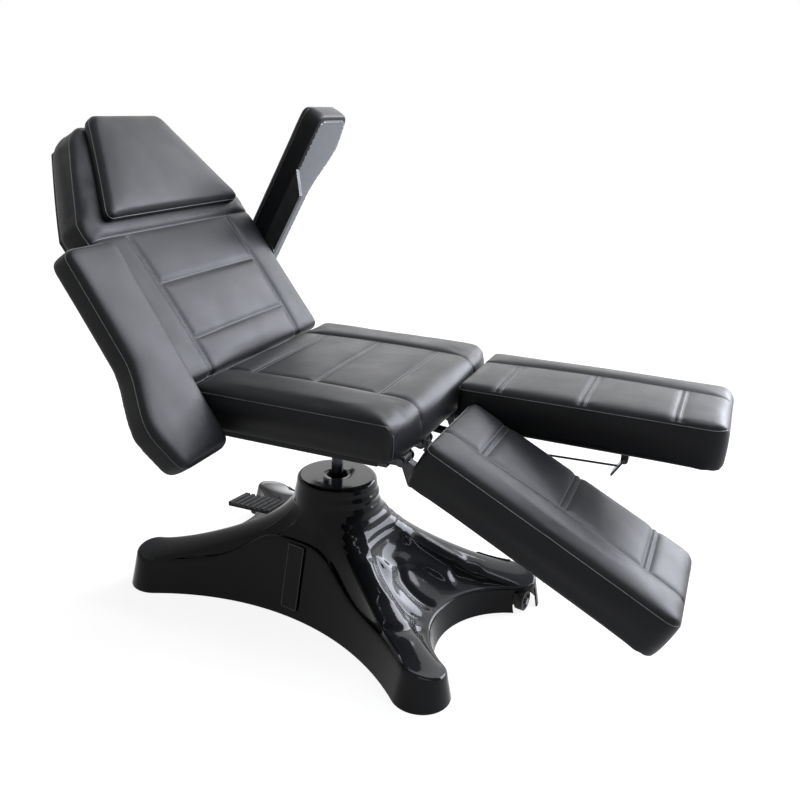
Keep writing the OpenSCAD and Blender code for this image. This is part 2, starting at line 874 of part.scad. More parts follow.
// Bolt with a hexagon head, its shank down from z
module bolt(d, l, z, head = bolt_head_d) {
    translate([0, 0, z - l])
        cylinder(d = d, h = l);
    translate([0, 0, z])
        cylinder(d = head, h = bolt_head_h, $fn = 6);
}

module pump_bolts() {
    color(zinc)
        base_place()
            for (a = [45 : 90 : 315])
                rotate([0, 0, a])
                    translate([pump_bolt_pcd / 2, 0, 0])
                        bolt(bolt_d, pump_flange_t + base_plate_t, pump_z + pump_flange_t);
}

module pedal_pin() {
    color(steel)
        base_place()
            cross_pin([pedal_axis_x, pedal_axis_z], pedal_pin_d,
                pedal_bar_w + 2 * (move_gap + ear_t + pin_over), pedal_y);
}

// Foot pedal: a cranked bar on its boss
module pedal_lever() {
    axis = [pedal_axis_x, pedal_axis_z];
    bend = [pedal_bend_x, pedal_bend_z];
    tip = [pedal_tip_x, pedal_tip_z];
    color(black_steel)
        base_place()
            difference() {
                union() {
                    upright(pedal_y - pedal_bar_w / 2, pedal_bar_w) {
                        circle_at(axis, pedal_boss_d);
                        link(axis, bend, pedal_bar_h);
                    }
                    upright(pedal_y - pedal_bar_w / 2 - cut, pedal_bar_w + 2 * cut)
                        link([bend.x + pedal_tread_h / 2, bend.y], tip, pedal_tread_h);
                }
                cross_pin(axis, pedal_pin_d + 2 * run_gap, pump_d, pedal_y);
            }
}

module circle_at(p, d) {
    translate(p)
        circle(d = d);
}

// Ribbed rubber pad on the pedal's tread
module pedal_pad() {
    slope = atan2(pedal_bend_z - pedal_tip_z, pedal_bend_x - pedal_tip_x);
    pitch = pedal_pad_l / pedal_ribs;
    color(rubber)
        base_place()
            translate([pedal_tip_x, pedal_y, pedal_tip_z])
                rotate([0, -slope, 0])
                    translate([-pedal_tread_h, -pedal_pad_w / 2, pedal_tread_h / 2])
                        difference() {
                            cube([pedal_pad_l, pedal_pad_w, pedal_pad_t]);
                            for (i = [1 : pedal_ribs - 1])
                                translate([i * pitch - pitch / 4, -cut, pedal_pad_t - pedal_rib_depth])
                                    cube([pitch / 2, pedal_pad_w + 2 * cut, pedal_rib_depth + cut]);
                        }
}

module pump_plunger() {
    color(steel)
        base_place()
            translate([plunger_x, pedal_y, plunger_bottom])
                cylinder(d = plunger_d, h = plunger_top - plunger_bottom);
}

// Ram of the lift with its piston head
module lift_ram() {
    color(steel) {
        translate([0, 0, ram_bottom])
            cylinder(d = ram_d, h = ram_top - ram_bottom);
        translate([0, 0, ram_bottom])
            cylinder(d = pump_d - 2 * pump_wall - 2 * run_gap, h = ram_head_h);
    }
}

// Plate under the seat frame, with the hub that turns on the ram
module seat_plate() {
    gusset = plate_w / 2 - bolt_head_d;
    color(black_steel)
        difference() {
            union() {
                translate([-plate_w / 2, -plate_w / 2, plate_z])
                    cube([plate_w, plate_w, plate_t]);
                translate([0, 0, hub_z])
                    cylinder(d = hub_d, h = hub_h);
                for (a = [0 : 90 : 270])
                    rotate([0, 0, a])
                        upright(-plate_t / 2, plate_t)
                            polygon([
                                [hub_d / 2 - plate_t, plate_z],
                                [gusset, plate_z],
                                [hub_d / 2, hub_z + plate_t],
                                [hub_d / 2 - plate_t, hub_z + plate_t]
                            ]);
            }
            translate([0, 0, hub_z - cut])
                cylinder(d = ram_d + 2 * run_gap, h = ram_top + seam_gap - hub_z + cut);
            for (x = [-plate_tube_x, plate_tube_x], y = [-plate_tube_x, plate_tube_x])
                translate([x, y, plate_z - cut])
                    cylinder(d = bolt_d + 2 * run_gap, h = plate_t + 2 * cut);
        }
}

module plate_bolts() {
    color(zinc)
        for (x = [-plate_tube_x, plate_tube_x], y = [-plate_tube_x, plate_tube_x])
            translate([x, y, plate_z])
                mirror([0, 0, 1])
                    bolt(bolt_d, plate_t + tube / 2, 0);
}

// Seat frame: rails and cross tubes
leg_strut_rear = polar(leg_axis(), leg_strut_r, leg_strut_rear_angle);
back_strut_low = polar(back_axis(), back_strut_r, back_strut_low_angle);
function polar(p, r, a) = [p.x + r * cos(a), p.y + r * sin(a)];
function leg_axis() = [leg_axis_x, leg_axis_z];
function back_axis() = [back_axis_x, back_axis_z];

// Pairs of plates on both sides of y, gap apart
module fork(y, gap, t) {
    for (side = sides)
        upright(y + side * gap / 2 + (side < 0 ? -t : 0), t)
            children();
}

// Places of the cross tubes along the seat frame
cross_tubes = [rear_tube_x, -plate_tube_x, plate_tube_x, strut_tube_x, front_tube_x];

module seat_rails() {
    color(black_steel)
        for (side = sides)
            tube_x(rail_rear, rail_front - rail_rear, side * rail_y, frame_z);
}

module seat_cross_tubes() {
    color(black_steel)
        difference() {
            for (x = cross_tubes)
                tube_y(x, 2 * rail_y - tube, frame_z);
            for (x = [-plate_tube_x, plate_tube_x], y = [-plate_tube_x, plate_tube_x])
                translate([x, y, frame_under - cut])
                    cylinder(d = bolt_d + 2 * run_gap, h = tube_wall + 2 * cut);
        }
}

// Lugs welded to the tubes: of the hinges, the struts, the drop brackets and the recline lever
module seat_lugs() {
    front = [front_tube_x, frame_z];
    rear = [rear_tube_x, frame_z - hinge_arm_drop];
    color(black_steel)
        difference() {
            union() {
                for (side = sides) {
                    for (y = leg_tubes(side))
                        fork(y, knuckle_l + 2 * lug_gap, lug_t) {
                            circle_at(leg_axis(), lug_d);
                            link(front, leg_axis(), tube - cut);
                        }
                    fork(side * back_tube_y, knuckle_l + 2 * lug_gap, lug_t) {
                        circle_at(back_axis(), lug_d);
                        link(rear, back_axis(), tube - cut);
                    }
                    fork(side * strut_y, eye_t + 2 * fork_gap, fork_t)
                        link([strut_tube_x, frame_z], leg_strut_rear, eye_d);
                    cross_pin(leg_strut_rear, eye_pin_d, eye_t + 2 * fork_gap + fork_t, side * strut_y);
                    upright(side * leg_y - lug_t / 2, lug_t)
                        link(front, [drop_x, drop_z], drop_w);
                    cross_pin([drop_x, drop_z], eye_pin_d, drop_eye_l, side * leg_y);
                }
                fork(0, eye_t + 2 * fork_gap, fork_t)
                    link(rear, back_strut_low, eye_d);
                cross_pin(back_strut_low, eye_pin_d, eye_t + 2 * fork_gap + fork_t);
                upright(rail_y + tube / 2, fork_t)
                    link([recline_x, frame_z], [recline_x, recline_z], eye_d);
                cross_pin([recline_x, recline_z], eye_pin_d, eye_t, rail_y + tube / 2 + eye_t / 2);
            }
            for (x = [rear_tube_x, strut_tube_x, front_tube_x])
                translate([x - tube / 2, -rail_y, frame_under])
                    cube([tube, 2 * rail_y, tube]);
            for (side = sides, y = leg_tubes(side))
                cross_pin(leg_axis(), pin_d + 2 * run_gap, 2 * knuckle_l, y);
            for (side = sides) {
                translate([rear_tube_x - tube / 2, side * back_tube_y - knuckle_l, frame_under - tube])
                    cube([2 * tube, 2 * knuckle_l, tube]);
                cross_pin(back_axis(), pin_d + 2 * run_gap, 2 * knuckle_l, side * back_tube_y);
            }
        }
}
function leg_tubes(side) = [side * leg_y - leg_tube_y, side * leg_y + leg_tube_y];

module seat_board() {
    rear = rail_rear + lug_t * 2;
    color(ply)
        translate([rear, -seat_w / 2 + board_inset, board_under])
            cube([rail_front - rear, seat_w - 2 * board_inset, board_t]);
}

module seat_cushion() {
    color(vinyl)
        translate([-seat_rear, 0, seat_under])
            pad(seat_l, function(x) -seat_w / 2, function(x) seat_w / 2, seat_t,
                end_r, seat_nose_r, side_r, side_r, seams = seat_seams,
                side_seams = [seat_w / 2 - seat_side_seam, seat_w / 2 + seat_side_seam], nose = seat_nose);
}

// Hinge pins, held in the lugs of the seat frame
module leg_pins() {
    length = knuckle_l + 2 * (lug_gap + lug_t + pin_over);
    color(steel)
        for (side = sides, y = leg_tubes(side))
            cross_pin(leg_axis(), pin_d, length, y);
}

module back_pins() {
    length = knuckle_l + 2 * (lug_gap + lug_t + pin_over);
    color(steel)
        for (side = sides)
            cross_pin(back_axis(), pin_d, length, side * back_tube_y);
}

// Leg rests. Their own measures are s along x from the hinge and d along z
module leg_frame(side) {
    start = knuckle_d / 2 + cut;
    fore = polar([0, 0], leg_strut_r, leg_strut_fore_angle);
    color(black_steel)
        leg_place(side)
            difference() {
                union() {
                    for (y = [-leg_tube_y, leg_tube_y]) {
                        tube_x(start, leg_frame_l - start, y, leg_tube_mid, leg_tube);
                        cross_pin([0, 0], knuckle_d, knuckle_l, y);
                        upright(y - leg_tube / 2, leg_tube)
                            link([0, 0], [start + tube_wall, leg_tube_mid], tube_wall * 4);
                    }
                    for (s = [leg_root + leg_l / 5, release_s, leg_frame_l - leg_tube / 2])
                        tube_y(s, 2 * leg_tube_y - leg_tube, leg_tube_mid, leg_tube);
                    fork(-side * leg_tube_y, eye_t + 2 * fork_gap - cut, fork_t - cut)
                        link([fore.x, leg_tube_mid], fore, eye_d);
                    cross_pin(fore, eye_pin_d, eye_t + 2 * fork_gap + fork_t / 2, -side * leg_tube_y);
                    fork(-side * leg_tube_y / 2, release_w, fork_t)
                        link([release_s, leg_tube_mid], [release_s, release_d], release_ear_w);
                }
                for (y = [-leg_tube_y, leg_tube_y])
                    cross_pin([0, 0], pin_d + 2 * run_gap, 2 * knuckle_l, y);
                cross_pin([release_s, release_d], release_bar_d + 2 * run_gap, leg_w / 2, -side * leg_tube_y / 2);
            }
}

module near_leg_frame() {
    leg_frame(near);
}

module far_leg_frame() {
    leg_frame(far);
}

module leg_board(side) {
    start = leg_root + board_inset;
    color(ply)
        leg_place(side)
            translate([start, -leg_w / 2 + board_inset, leg_lift - board_t])
                cube([leg_l - 2 * board_inset, leg_w - 2 * board_inset, board_t]);
}

module near_leg_board() {
    leg_board(near);
}

module far_leg_board() {
    leg_board(far);
}

module leg_cushion(side) {
    color(vinyl)
        leg_place(side)
            translate([leg_root, 0, leg_lift])
                pad(leg_l, function(x) -leg_w / 2, function(x) leg_w / 2, leg_t,
                    end_r, leg_end_r, side_r, leg_corner_r, seams = leg_seams,
                    side_seams = [leg_w / 2 + side * leg_side_seam]);
}

module near_leg_cushion() {
    leg_cushion(near);
}

module far_leg_cushion() {
    leg_cushion(far);
}

// Strut tube from p towards q, with an eye at p
module strut_body(p, q, l, y) {
    k = l / norm(q - p);
    end = [mix(p.x, q.x, k), mix(p.y, q.y, k)];
    from = [mix(p.x, q.x, strut_neck / norm(q - p)), mix(p.y, q.y, strut_neck / norm(q - p))];
    inside = [mix(from.x, end.x, strut_floor_share), mix(from.y, end.y, strut_floor_share)];
    color(gloss_black)
        difference() {
            union() {
                cross_pin(p, eye_d, eye_t, y);
                rod(p, inside, eye_t - cut, y);
                rod(from, end, strut_d, y);
            }
            cross_pin(p, eye_pin_d + 2 * run_gap, 2 * eye_t, y);
            rod(inside, [mix(from.x, end.x, 1 + cut / l), mix(from.y, end.y, 1 + cut / l)],
                rod_d + 2 * rod_gap, y);
        }
}

// Strut rod from its eye at p towards q
module strut_rod(p, q, l, y) {
    k = l / norm(q - p);
    color(steel)
        difference() {
            union() {
                cross_pin(p, eye_d, eye_t, y);
                rod(p, [mix(p.x, q.x, k), mix(p.y, q.y, k)], rod_d, y);
            }
            cross_pin(p, eye_pin_d + 2 * run_gap, 2 * eye_t, y);
        }
}

function leg_pitch(side) = side == near ? near_pitch : far_pitch;
function leg_strut_fore(side) = polar(leg_axis(), leg_strut_r, leg_strut_fore_angle - leg_pitch(side));
function back_strut_high() = polar(back_axis(), back_strut_r, 180 - back_tilt + back_strut_high_angle);

module near_strut_body() {
    strut_body(leg_strut_rear, leg_strut_fore(near), leg_strut_l, -strut_y);
}

module far_strut_body() {
    strut_body(leg_strut_rear, leg_strut_fore(far), leg_strut_l, strut_y);
}

module near_strut_rod() {
    strut_rod(leg_strut_fore(near), leg_strut_rear, leg_rod_l, -strut_y);
}

module far_strut_rod() {
    strut_rod(leg_strut_fore(far), leg_strut_rear, leg_rod_l, strut_y);
}

// Lever that frees a leg strut, on a bar between two ears of the leg frame
module release_lever(side) {
    pivot = [release_s, release_d];
    y = -side * leg_tube_y / 2;
    color(zinc)
        leg_place(side) {
            cross_pin(pivot, release_bar_d, release_w + 2 * fork_t + 2 * pin_over, y);
            cross_pin(pivot, release_ear_w, release_w - 2 * fork_gap, y);
            upright(y - release_w / 2 + fork_gap, release_w - 2 * fork_gap)
                link(pivot, [release_tip_s, release_tip_d], release_paddle_t);
        }
}

module near_release_lever() {
    release_lever(near);
}

module far_release_lever() {
    release_lever(far);
}

module pull_rod(side) {
    color(black_steel)
        leg_place(side) {
            rod([pull_rear_s, pull_rear_d], [pull_fore_s, pull_fore_d], pull_d, -side * leg_tube_y);
            cross_pin([pull_rear_s, pull_rear_d], pull_d * 2, pull_d * 2, -side * leg_tube_y);
        }
}

module near_pull_rod() {
    pull_rod(near);
}

module far_pull_rod() {
    pull_rod(far);
}

// Back rest. Its own measures are s along x from the hinge and d along z
module back_frame() {
    start = knuckle_d / 2 + cut;
    arm_axis = [arm_pivot_s, arm_pivot_d];
    high = polar([0, 0], back_strut_r, -back_strut_high_angle);
    color(black_steel)
        back_place()
            difference() {
                union() {
                    for (y = [-back_tube_y, back_tube_y]) {
                        tube_x(start, back_frame_l - start, y, back_tube_mid);
                        cross_pin([0, 0], knuckle_d, knuckle_l, y);
                        upright(y - tube / 2, tube)
                            link([0, 0], [start + tube_wall, back_tube_mid], tube_wall * 4);
                    }
                    tube_y(back_tubes[0], 2 * back_tube_y - tube, back_tube_mid);
                    tube_y(back_tubes[1], seat_w + 2 * seam_gap, back_tube_mid);
                    tube_y(back_tubes[2], 2 * back_tube_y - tube, back_tube_mid);
                    for (side = sides)
                        upright(side * (seat_w / 2 + seam_gap) + (side < 0 ? -hinge_plate_t : 0), hinge_plate_t)
                            link([arm_pivot_s, back_tube_mid], arm_axis, hinge_plate_w);
                    fork(0, eye_t + 2 * fork_gap, fork_t)
                        link([back_tubes[0], back_tube_mid], high, eye_d);
                    cross_pin(high, eye_pin_d, eye_t + 2 * fork_gap + fork_t);
                }
                for (y = [-back_tube_y, back_tube_y])
                    cross_pin([0, 0], pin_d + 2 * run_gap, 2 * knuckle_l, y);
                cross_pin(arm_axis, arm_bolt_d + 2 * run_gap, 2 * seat_w);
            }
}

// Half the width of the back rest at a length x from its lower end
function back_half(x) = x < back_straight ? seat_w / 2
    : mix(seat_w / 2, head_w / 2, taper_shares[0] * ease((x - back_straight) / 2, 0, back_l - back_straight)
        + taper_shares[1] * (x - back_straight) / (back_l - back_straight));

module back_board() {
    stops = [for (k = [0 : 6]) mix(back_straight, back_l - 2 * board_inset, k / 6)];
    right = concat([[board_inset, seat_w / 2 - board_inset]],
        [for (x = stops) [x, back_half(x) - board_inset]]);
    color(ply)
        back_place()
            translate([back_root, 0, back_under - board_t])
                linear_extrude(board_t)
                    polygon(concat(right, [for (p = reversed(right)) [p.x, -p.y]]));
}

module back_cushion() {
    color(vinyl)
        back_place()
            translate([back_root, 0, back_under])
                pad(back_l, function(x) -back_half(x), function(x) back_half(x), back_t,
                    end_r, end_r, side_r, head_corner_r, crown_to = shoulder, seams = back_seams,
                    side_seams = [seat_w / 2 - back_side_seam, seat_w / 2 + back_side_seam]);
}

// Head pillow, held to the back rest by its strap
module head_pillow() {
    half = function(x) mix(pillow_w, pillow_top_w, x / pillow_l) / 2;
    color(vinyl)
        back_place()
            translate([back_l + back_root - pillow_l - seam_gap, 0, back_face + seam_gap])
                pad(pillow_l, function(x) -half(x), half, pillow_t, side_r, side_r, pillow_corner_r,
                    pillow_corner_r, rows = 4, columns = 4);
}

module back_strut_body() {
    strut_body(back_strut_low, back_strut_high(), back_strut_l, 0);
}

module back_strut_rod() {
    strut_rod(back_strut_high(), back_strut_low, back_rod_l, 0);
}

// Lever that frees the back rest, at the far rear of the seat frame
module recline_lever() {
    y = rail_y + tube / 2 + fork_t + fork_gap;
    tip = [recline_x + recline_l, recline_z - recline_drop];
    color(gloss_black)
        difference() {
            union() {
                upright(y, fork_t) {
                    circle_at([recline_x, recline_z], eye_d);
                    link([recline_x, recline_z], tip, eye_d / 2);
                }
                cross_pin(tip, recline_knob_d, recline_reach, y + recline_reach / 2);
            }
            cross_pin([recline_x, recline_z], eye_pin_d + 2 * run_gap, 2 * recline_reach, y);
        }
}

// Arm rests. Their own measures are x along the arm from its pivot and z towards the padded face
function arm_width(x) = let (
    swell = ease(x, arm_flare_start - arm_l * arm_flare_lead_share, arm_flare_end),
    tip = ease(x, arm_flare_end, arm_l)
) arm_w + (arm_hand_w - arm_w) * swell - arm_tip_in * tip;

module arm_board(side) {
    stops = [for (k = [0 : 10]) mix(board_inset, arm_l - 2 * board_inset, k / 10)];
    outer = [for (x = stops) [x - arm_rear, side * (arm_inner + arm_width(x) - board_inset)]];
    inner = [for (x = [stops[10], stops[0]]) [x - arm_rear, side * (arm_inner + lug_t)]];
    color(ply)
        arm_place(side)
            translate([0, 0, arm_under])
                linear_extrude(board_t)
                    polygon(concat(outer, inner));
}

module near_arm_board() {
    arm_board(near);
}

module far_arm_board() {
    arm_board(far);
}

module arm_cushion(side) {
    left = side > 0 ? function(x) arm_inner : function(x) -arm_inner - arm_width(x);
    right = side > 0 ? function(x) arm_inner + arm_width(x) : function(x) -arm_inner;
    color(vinyl)
        arm_place(side)
            translate([-arm_rear, 0, arm_under + board_t])
                pad(arm_l, left, right, arm_t, side_r, side_r, side_r * 2, arm_corner_r,
                    top_crown = crown / 2, rows = 6, columns = 3);
}

module near_arm_cushion() {
    arm_cushion(near);
}

module far_arm_cushion() {
    arm_cushion(far);
}

// Moulded bracket under the inner edge of an arm rest
module arm_bracket(side) {
    color(black_steel)
        arm_place(side)
            difference() {
                upright(side > 0 ? arm_inner : -arm_inner - arm_bracket_t, arm_bracket_t)
                    polygon([
                        [-arm_bracket_rear, arm_under],
                        [-arm_bracket_rear, -arm_bracket_drop],
                        [arm_bracket_fore, -arm_bracket_drop],
                        [arm_bracket_end, arm_under]
                    ]);
                cross_pin([0, 0], arm_bolt_d + 2 * run_gap, 4 * arm_inner);
            }
}

module near_arm_bracket() {
    arm_bracket(near);
}

module far_arm_bracket() {
    arm_bracket(far);
}

// Pivot bolts of the arm rests, screwed into the hinge plates of the back frame
module arm_bolts() {
    start = seat_w / 2 + seam_gap;
    shank = arm_inner + arm_bracket_t + move_gap - start;
    color(steel)
        for (side = sides)
            translate([arm_pivot.x, side * start, arm_pivot.y])
                rotate([-side * 90, 0, 0]) {
                    cylinder(d = arm_bolt_d, h = shank);
                    translate([0, 0, shank])
                        cylinder(d = arm_bolt_head_d, h = bolt_head_h);
                }
}

base_cover();
column_cover();
slot_strip();
base_frame();
floor_pads();
pump_cylinder();
pump_gland();
pump_bolts();
pedal_pin();
pedal_lever();
pedal_pad();
pump_plunger();
roller_axles();
foot_end_roller();
head_end_roller();
lift_ram();
seat_plate();
plate_bolts();
seat_rails();
seat_cross_tubes();
seat_lugs();
seat_board();
seat_cushion();
leg_pins();
back_pins();
near_leg_frame();
near_leg_board();
near_leg_cushion();
near_strut_body();
near_strut_rod();
near_release_lever();
near_pull_rod();
far_leg_frame();
far_leg_board();
far_leg_cushion();
far_strut_body();
far_strut_rod();
far_release_lever();
far_pull_rod();
back_frame();
back_board();
back_cushion();
head_pillow();
back_strut_body();
back_strut_rod();
recline_lever();
near_arm_cushion();
near_arm_board();
near_arm_bracket();
far_arm_cushion();
far_arm_board();
far_arm_bracket();
arm_bolts();
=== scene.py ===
"""Looks of a pedicure chair with split leg rests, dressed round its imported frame.

Lengths are metres. The floor is z = 0, the lift column stands on the origin, the foot end is
along +X and the far side along +Y.
"""
import json
import logging
import math
from dataclasses import dataclass, field
from enum import Enum
from typing import Callable, Sequence

import bmesh
import bpy
import numpy as np
from mathutils import Matrix, Vector
from mathutils.bvhtree import BVHTree


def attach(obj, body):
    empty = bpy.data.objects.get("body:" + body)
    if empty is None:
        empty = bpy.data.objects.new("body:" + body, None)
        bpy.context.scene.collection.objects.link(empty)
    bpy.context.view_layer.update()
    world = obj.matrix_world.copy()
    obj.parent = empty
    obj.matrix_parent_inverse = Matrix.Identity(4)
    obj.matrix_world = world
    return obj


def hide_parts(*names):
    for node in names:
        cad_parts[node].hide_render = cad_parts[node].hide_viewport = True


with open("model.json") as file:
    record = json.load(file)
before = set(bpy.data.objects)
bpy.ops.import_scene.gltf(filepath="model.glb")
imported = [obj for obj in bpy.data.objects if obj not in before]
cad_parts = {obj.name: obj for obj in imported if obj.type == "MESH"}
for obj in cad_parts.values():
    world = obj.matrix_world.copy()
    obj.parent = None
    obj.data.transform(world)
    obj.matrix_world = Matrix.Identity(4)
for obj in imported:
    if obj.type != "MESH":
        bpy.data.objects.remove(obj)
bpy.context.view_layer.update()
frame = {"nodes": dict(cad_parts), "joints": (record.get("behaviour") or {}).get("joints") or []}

LOG = logging.getLogger("pedicure_chair")
Array = np.ndarray
Mesh = bpy.types.Mesh
Object = bpy.types.Object
Tree = bpy.types.NodeTree
Socket = bpy.types.NodeSocket
Point = tuple[float, float, float]
Width = Callable[[Array], Array]


class Slot(Enum):
    """Material slots of the record."""

    VINYL = "vinyl"
    GLOSS = "gloss_black"
    BRIGHT_STEEL = "bright_steel"


# --- helpers for numbers, meshes and nodes


def linear(colour: str) -> tuple[float, float, float, float]:
    """Turns an sRGB hex colour to linear light.

    Args:
        colour: The colour as #rrggbb.

    Returns:
        Red, green, blue and an alpha of 1.
    """
    srgb = np.array([int(colour[i:i + 2], 16) / 255 for i in (1, 3, 5)])
    values = np.where(srgb <= 0.04045, srgb / 12.92, ((srgb + 0.055) / 1.055) ** 2.4)
    return (*values.tolist(), 1.0)


def mix(a: float | Array, b: float | Array, k: float | Array) -> float | Array:
    """Value between a and b at the share k."""
    return a + (b - a) * k


def ease(u: Array, start: float, end: float) -> Array:
    """Share that rises from 0 to 1 between two places, as 3k^2 - 2k^3."""
    k = np.clip((u - start) / (end - start), 0, 1)
    return k * k * (3 - 2 * k)


def edge_drop(inside: Array, radius: float) -> Array:
    """Fall of a rounded edge at a distance inside it: the edge is a quarter circle."""
    reach = np.maximum(0, radius - inside)
    return np.where(inside >= radius, 0, radius - np.sqrt(np.maximum(0, radius**2 - reach**2)))


def unit(vectors: Array) -> Array:
    """Vectors at length 1."""
    return vectors / np.maximum(np.linalg.norm(vectors, axis=-1, keepdims=True), 1e-12)


def grid_faces(rows: int, columns: int, wrap_rows: bool = False, wrap_columns: bool = False) -> Array:
    """Quads between the points of a grid.

    Args:
        rows: Number of rows of points.
        columns: Number of points in a row.
        wrap_rows: Whether the last row meets the first.
        wrap_columns: Whether a row's last point meets its first.

    Returns:
        An array of faces, four indices each.
    """
    i, j = np.meshgrid(np.arange(rows if wrap_rows else rows - 1),
                       np.arange(columns if wrap_columns else columns - 1), indexing="ij")
    k, m = (i + 1) % rows, (j + 1) % columns
    return np.stack([i * columns + j, k * columns + j, k * columns + m, i * columns + m], -1).reshape(-1, 4)


def fan_faces(ring: Array, middle: int) -> Array:
    """Triangles from each edge of a closed ring of indices to a middle point."""
    return np.stack([ring, np.roll(ring, -1), np.full(len(ring), middle)], -1)


@dataclass
class Surface:
    """Points and faces gathered from several surfaces into one mesh."""

    points: list[Array] = field(default_factory=list)
    faces: list[list[int]] = field(default_factory=list)
    count: int = 0

    def add(self, points: Array, *faces: Array) -> None:
        """Adds a surface, whose faces count from its own first point."""
        points = points.reshape(-1, 3)
        self.points.append(points)
        for group in faces:
            self.faces.extend((group + self.count).tolist())
        self.count += len(points)

    def moved(self, place: Matrix) -> "Surface":
        """The same surface carried to a place."""
        matrix = np.array(place)
        points = np.concatenate(self.points) @ matrix[:3, :3].T + matrix[:3, 3]
        return Surface([points], self.faces, self.count)

    def build(self, name: str, outward: bool = True) -> Object:
        """Makes a smooth object of it.

        Args:
            name: The object's name.
            outward: Whether the faces are turned to point outwards.

        Returns:
            The object, at the origin.
        """
        mesh = bpy.data.meshes.new(name)
        mesh.from_pydata(np.concatenate(self.points), [], self.faces)
        if outward:
            turn_outward(mesh)
        mesh.shade_smooth()
        made = bpy.data.objects.new(name, mesh)
        bpy.context.scene.collection.objects.link(made)
        return made


def turn_outward(mesh: Mesh) -> None:
    """Merges doubled points and turns every face outwards."""
    work = bmesh.new()
    work.from_mesh(mesh)
    bmesh.ops.remove_doubles(work, verts=work.verts, dist=1e-6)
    bmesh.ops.recalc_face_normals(work, faces=work.faces)
    work.to_mesh(mesh)
    work.free()


def evaluated(made: Object) -> None:
    """Applies an object's modifiers to its mesh."""
    graph = bpy.context.evaluated_depsgraph_get()
    mesh = bpy.data.meshes.new_from_object(made.evaluated_get(graph))
    made.modifiers.clear()
    made.data = mesh


def read_points(mesh: Mesh) -> Array:
    """The points of a mesh."""
    values = np.empty(len(mesh.vertices) * 3)
    mesh.vertices.foreach_get("co", values)
    return values.reshape(-1, 3)


def write_points(mesh: Mesh, points: Array) -> None:
    """Puts points back into a mesh."""
    mesh.vertices.foreach_set("co", points.ravel())
    mesh.update()


def read_normals(mesh: Mesh) -> Array:
    """The normals at a mesh's points."""
    values = np.empty(len(mesh.vertices) * 3)
    mesh.vertex_normals.foreach_get("vector", values)
    return values.reshape(-1, 3)


def smoothed(mesh: Mesh, values: Array, rounds: int) -> Array:
    """Vectors at a mesh's points, each moved half way to the mean of its neighbours for some rounds.

    Args:
        mesh: The mesh whose edges tell which points are neighbours.
        values: A vector for each point.
        rounds: How often it is done.

    Returns:
        The evened vectors.
    """
    edges = np.empty(len(mesh.edges) * 2, dtype=np.int64)
    mesh.edges.foreach_get("vertices", edges)
    a, b = edges.reshape(-1, 2).T
    number = np.bincount(a, minlength=len(values)) + np.bincount(b, minlength=len(values))
    for _ in range(rounds):
        total = np.stack([
            np.bincount(a, values[b, i], len(values)) + np.bincount(b, values[a, i], len(values))
            for i in range(3)
        ], -1)
        values = mix(values, total / np.maximum(number, 1)[:, None], 0.5)
    return values


def frames_along(path: Array, normals: Array, closed: bool) -> tuple[Array, Array, Array]:
    """Directions along, out of and across a path.

    Args:
        path: Points.
        normals: A rough outward direction at each point.
        closed: Whether the path runs round to its first point.

    Returns:
        Unit vectors along the path, outwards square to it, and across.
    """
    along = np.roll(path, -1, 0) - np.roll(path, 1, 0) if closed else np.gradient(path, axis=0)
    along = unit(along)
    out = unit(normals - (normals * along).sum(-1, keepdims=True) * along)
    return along, out, np.cross(along, out)


def round_about(turn: Array, out: Array, across: Array) -> Array:
    """Directions at some turns round a path, for each of its points."""
    return np.cos(turn)[None, :, None] * out[:, None] + np.sin(turn)[None, :, None] * across[:, None]


def tube(path: Array, normals: Array, radius: float, sides: int = 6, closed: bool = False) -> Surface:
    """A round bead along a path: a circle of the radius carried square to it.

    Args:
        path: Points of the middle line.
        normals: Outward directions that steady the circle.
        radius: The bead's radius.
        sides: Points round the circle.
        closed: Whether the bead runs round to its start.

    Returns:
        The bead's surface, with its ends closed.
    """
    _, out, across = frames_along(path, normals, closed)
    turn = 2 * math.pi * np.arange(sides) / sides
    rings = path[:, None] + radius * round_about(turn, out, across)
    made = Surface()
    count = len(path)
    points = np.concatenate([rings.reshape(-1, 3), path[:1], path[-1:]])
    faces = [grid_faces(count, sides, closed, True)]
    if closed:
        points = points[:-2]
    else:
        ring = np.arange(sides)
        faces += [fan_faces(ring, count * sides),
                  fan_faces(ring[::-1] + (count - 1) * sides, count * sides + 1)]
    made.points, made.count = [points], len(points)
    made.faces = [f for group in faces for f in group.tolist()]
    return made


